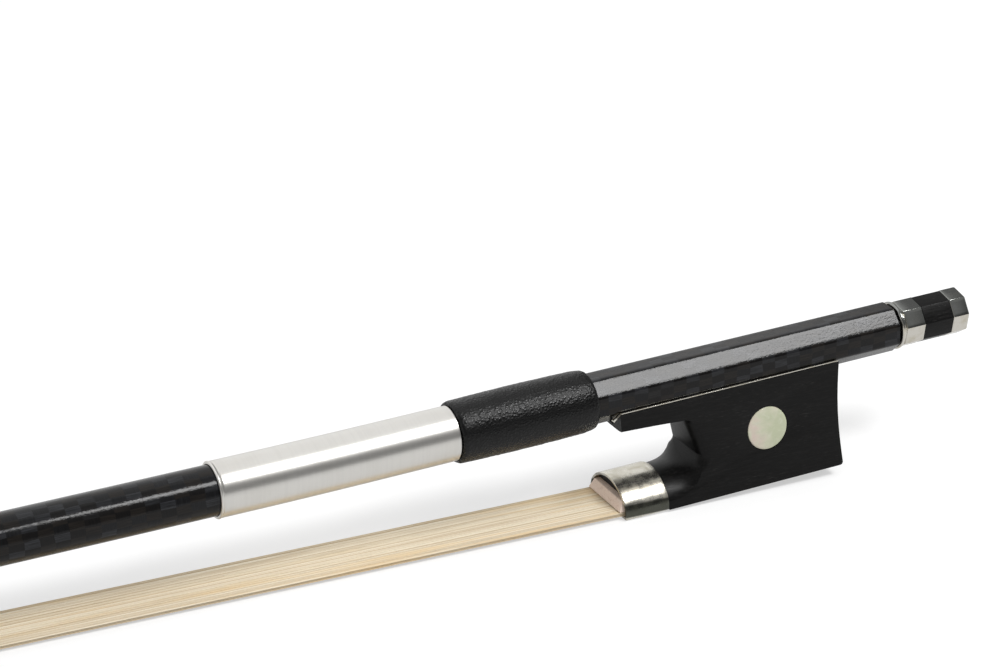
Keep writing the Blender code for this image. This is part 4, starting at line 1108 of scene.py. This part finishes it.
# Floor, world and lamps
def build_floor():
    """A pale floor under the bow, white to the camera, with the bow's shadow, and greyer to the metal."""
    form = bmesh.new()
    bmesh.ops.create_grid(form, x_segments=1, y_segments=1, size=4)
    floor_level = Vector((0, 0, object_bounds()[0][2] - 0.05 * MM))
    bmesh.ops.translate(form, vec=floor_level, verts=form.verts)
    mesh = bpy.data.meshes.new("floor")
    form.to_mesh(mesh)
    form.free()
    floor = add_object("floor", mesh)
    made = Shader("floor_paper", (0.55, 0.55, 0.55), 0.9, Specular_IOR_Level=0.0)
    path = made.node("LightPath").outputs
    seen = made.math("MULTIPLY", path["Is Glossy Ray"], 0.40)
    seen = made.math("MAXIMUM", seen, path["Is Camera Ray"])
    seen = made.math("MAXIMUM", seen, path["Is Transmission Ray"])
    grain = made.noise(made.place((0.05, 0.05, 0.05)), 1.0, 3)
    made.drive(Base_Color=made.mix(grain, (0.54, 0.54, 0.54), (0.56, 0.56, 0.56)))
    glow = made.node("Emission", {"Color": (1, 1, 1, 1), "Strength": made.math("MULTIPLY", seen, 0.5)})
    add = made.node("AddShader", {0: made.surface.outputs[0], 1: glow.outputs[0]})
    made.tree.links.new(add.outputs[0], made.tree.nodes["Material Output"].inputs["Surface"])
    mesh.materials.append(made.material)


def build_world():
    """A white room for the camera. Reflections see it white behind, grey overhead and dark in front."""
    world = bpy.data.worlds.new("studio")
    bpy.context.scene.world = world
    world.use_nodes = True
    made = Nodes(world.node_tree)
    direction = made.node("TexCoord").outputs["Generated"]
    across, depth, height = (made.part(direction, axis) for axis in range(3))
    # Behind it is white, as far as the light's edge on the button's side
    behind = made.span(across, 0.44, 0.52, 1.0, 0.24)
    overhead = made.blend(made.span(depth, 0.02, -0.10), behind, 0.42)
    # In front it is dark, with a paler strip under the softbox on the button's side
    strip = made.math("MULTIPLY", made.span(height, 0.46, 0.54), made.span(height, 0.60, 0.68, 1, 0))
    strip = made.math("MULTIPLY", strip, made.span(across, 0.44, 0.50))
    ahead = made.blend(strip, made.span(across, 0.36, 0.42, 0.2, 0.09), 0.38)
    seen = made.blend(made.span(depth, -0.25, -0.45), overhead, ahead)
    path = made.node("LightPath").outputs
    lit = made.blend(path["Is Diffuse Ray"], seen, 0.6)
    strength = made.blend(path["Is Camera Ray"], lit, 1.0)
    made.put(made.tree.nodes["Background"], {"Color": (1, 1, 1, 1), "Strength": strength})


def build_lamp(name, direction, distance, size, power, target):
    """A soft rectangular lamp that faces the target from a direction."""
    data = bpy.data.lights.new(name, "AREA")
    data.shape = "RECTANGLE"
    data.size, data.size_y = size
    data.energy = power
    lamp = add_object(name, data)
    away = Vector(direction).normalized()
    lamp.location = Vector(target) + away * distance
    lamp.rotation_euler = away.to_track_quat("Z", "Y").to_euler()
    lamp.visible_camera = False


def build_camera():
    """The photograph's lower close-up, found by fitting the frog's and the handle's edges."""
    azimuth, elevation, roll = (math.radians(a) for a in (-25.43884, 24.44371, -1.88955))
    focal_pixels, frame_pixels = 2935.09, 1000
    spot = Vector((-209.33286, -398.45663, 216.52930)) * MM
    back = Vector((math.sin(azimuth) * math.cos(elevation), -math.cos(azimuth) * math.cos(elevation),
                   math.sin(elevation)))
    right = Vector((0, 0, 1)).cross(back).normalized()
    up = back.cross(right)
    across = math.cos(roll) * right + math.sin(roll) * up
    upright = -math.sin(roll) * right + math.cos(roll) * up
    turn = Matrix((across, upright, back)).transposed().to_4x4()
    data = bpy.data.cameras.new("camera")
    data.sensor_width = 36
    data.lens = focal_pixels * data.sensor_width / frame_pixels
    data.clip_start = 0.01
    camera = add_object("camera", data)
    camera.matrix_world = HANDLE @ Matrix.Translation(spot) @ turn
    bpy.context.scene.camera = camera


frog_centre = HANDLE @ Vector((15 * MM, 0, -8 * MM))
build_floor()
build_world()
build_lamp("softbox", direction=(0.34, -0.445, 0.83), distance=1.2, size=(0.62, 0.25), power=9.0,
           target=frog_centre)
build_camera()
bpy.context.scene.view_settings.view_transform = "Standard"
